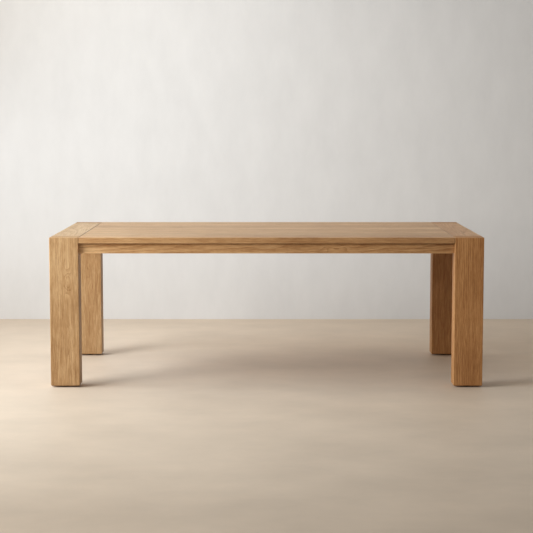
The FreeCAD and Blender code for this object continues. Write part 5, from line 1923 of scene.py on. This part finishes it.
@dataclass(frozen=True)
class StudioPaint:
    """A cloudy paint for a sheet of the room, clear when the sheet is seen from its back.

    Attributes:
        colour: The common colour.
        clouds: Clouds to the metre along each axis.
        share: How far the clouds vary the colour either way.
        rough: How rough the paint is.
        tones: The values of the clouds that show the two colours pure.
    """

    colour: Colour
    clouds: Place
    share: float
    rough: float
    tones: tuple[float, float] = (0.3, 0.7)

    def material(self, name: str) -> bpy.types.Material:
        """Make the material.

        Args:
            name: The material's name.

        Returns:
            The material.
        """
        made, w, place = opened(name)
        cloud = w.noise(place, self.clouds, detail=6.0, rough=0.62)
        deep = tuple(part * (1.0 - self.share) for part in self.colour)
        pale = tuple(min(1.0, part * (1.0 + self.share)) for part in self.colour)
        paint = w.add("ShaderNodeBsdfPrincipled", {
            "Base Color": w.ramp(cloud, self.tones, (deep, pale)), "Roughness": self.rough})
        clear = w.add("ShaderNodeBsdfTransparent", {})
        behind = w.add("ShaderNodeNewGeometry", {}).outputs["Backfacing"]
        seen = w.add("ShaderNodeMixShader", {0: behind, 1: paint.outputs[0], 2: clear.outputs[0]})
        w.add("ShaderNodeOutputMaterial", {0: seen.outputs[0]})
        return made


@dataclass
class Studio:
    """The plain room, its soft light and the camera.

    Attributes:
        eye: Where the camera stands.
        pitch: How far the camera looks down, in degrees.
        lens: The focal length in millimetres.
        sensor: The width of the camera's sensor in millimetres.
        wall: How far behind the table's middle the backdrop stands.
        reach: How far the floor runs each way.
        fill: How bright the even fill is.
        beyond: How bright the room beyond the sheets looks.
        lamps: The soft lamps.
        floor_paint: The floor's paint.
        wall_paint: The backdrop's paint.
    """

    eye: Place = (-0.0007, -7.904, 1.359)
    pitch: float = 5.78
    lens: float = 99.56
    sensor: float = 36.0
    wall: float = 1.99
    reach: float = 30.0
    fill: float = 0.20
    beyond: float = 0.8
    lamps: tuple[SoftBox, ...] = (
        SoftBox("window_front", 140.0, (2.0, 1.8), (-2.6, -1.25, 2.2), (1.0, -1.15, 2.2), WINDOW_TINT),
        SoftBox("window_middle", 14.0, (1.6, 2.0), (-2.5, 0.1, 1.2), (1.0, -0.3, 0.9), WINDOW_TINT, 126.0),
        SoftBox("window_back", 7.5, (0.8, 1.4), (-2.6, 1.3, 1.0), (1.0, 1.4, 0.2), WINDOW_TINT, 120.0),
        SoftBox("far_box", 164.0, (3.0, 2.4), (-5.0, -3.5, 2.0), (0.0, 0.0, 0.6), ROOM_TINT),
        SoftBox("ceiling_box", 15.0, (5.0, 0.8), (-0.6, 0.9, 3.2), (-0.2, 1.6, 0.0), ROOM_TINT, 120.0),
    )
    floor_paint: StudioPaint = StudioPaint(linear(205, 187, 168), (1.9, 2.6, 1.9), 0.08, 0.55)
    wall_paint: StudioPaint = StudioPaint(linear(216, 215, 216), (7.0, 3.0, 3.0), 0.03, 0.8)

    def _sheet(self, name: str, place: Place, tilt: float, paint: StudioPaint) -> None:
        """Add a painted sheet that isn't part of the table.

        Args:
            name: The sheet's name.
            place: Its middle.
            tilt: Its turn about X, in degrees.
            paint: Its paint.
        """
        bpy.ops.object.select_all(action="DESELECT")
        bpy.ops.mesh.primitive_plane_add(
            size=2 * self.reach, location=place, rotation=(math.radians(tilt), 0.0, 0.0))
        sheet = Bench.named(name)
        sheet.data.materials.append(paint.material(f"{name}_paint"))

    def light(self) -> None:
        """Light the table from a broad window on the left, with an even fill all round."""
        for lamp in self.lamps:
            lamp.hang()
        world = bpy.data.worlds.new("soft_fill")
        world.use_nodes = True
        w = Wiring(world.node_tree)
        fill = w.add("ShaderNodeBackground", {"Color": ROOM_TINT, "Strength": self.fill})
        beyond = w.add("ShaderNodeBackground", {"Color": self.wall_paint.colour, "Strength": self.beyond})
        rays = w.add("ShaderNodeLightPath", {}).outputs
        mirrored = w.sum("MAXIMUM", rays["Is Glossy Ray"], rays["Is Transmission Ray"])
        seen = w.sum("MAXIMUM", rays["Is Camera Ray"], mirrored)
        both = w.add("ShaderNodeMixShader", {0: seen, 1: fill.outputs[0], 2: beyond.outputs[0]})
        w.add("ShaderNodeOutputWorld", {0: both.outputs[0]})
        bpy.context.scene.world = world

    def set_camera(self) -> None:
        """Stand the camera where the table was seen from."""
        camera = bpy.data.cameras.new("camera")
        camera.sensor_width = self.sensor
        camera.lens = self.lens
        stood = bpy.data.objects.new("camera", camera)
        bpy.context.scene.collection.objects.link(stood)
        stood.location = self.eye
        stood.rotation_euler = (math.radians(90.0 - self.pitch), 0.0, 0.0)
        bpy.context.scene.camera = stood

    def build(self) -> None:
        """Set up the room, light and camera."""
        self._sheet("studio_floor", (0.0, 0.0, 0.0), 0.0, self.floor_paint)
        self._sheet("studio_backdrop", (0.0, self.wall, self.reach), 90.0, self.wall_paint)
        self.light()
        self.set_camera()
        bpy.context.scene.view_settings.view_transform = "Standard"


def main() -> None:
    """Dress the table and set up the studio."""
    logging.basicConfig(level=logging.INFO, format="%(message)s")
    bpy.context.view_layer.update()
    bpy.ops.object.select_all(action="DESELECT")
    finishes = Finishes()
    bench = Bench()
    BoardedTop().dress(finishes)
    Underframe().dress(finishes)
    setting = Setting.read()
    for fittings in (TopFastenings(setting), LegFastenings(setting), LevellingFeet(setting)):
        fittings.build(bench, finishes)
    Studio().build()


if __name__ == "__main__":
    main()
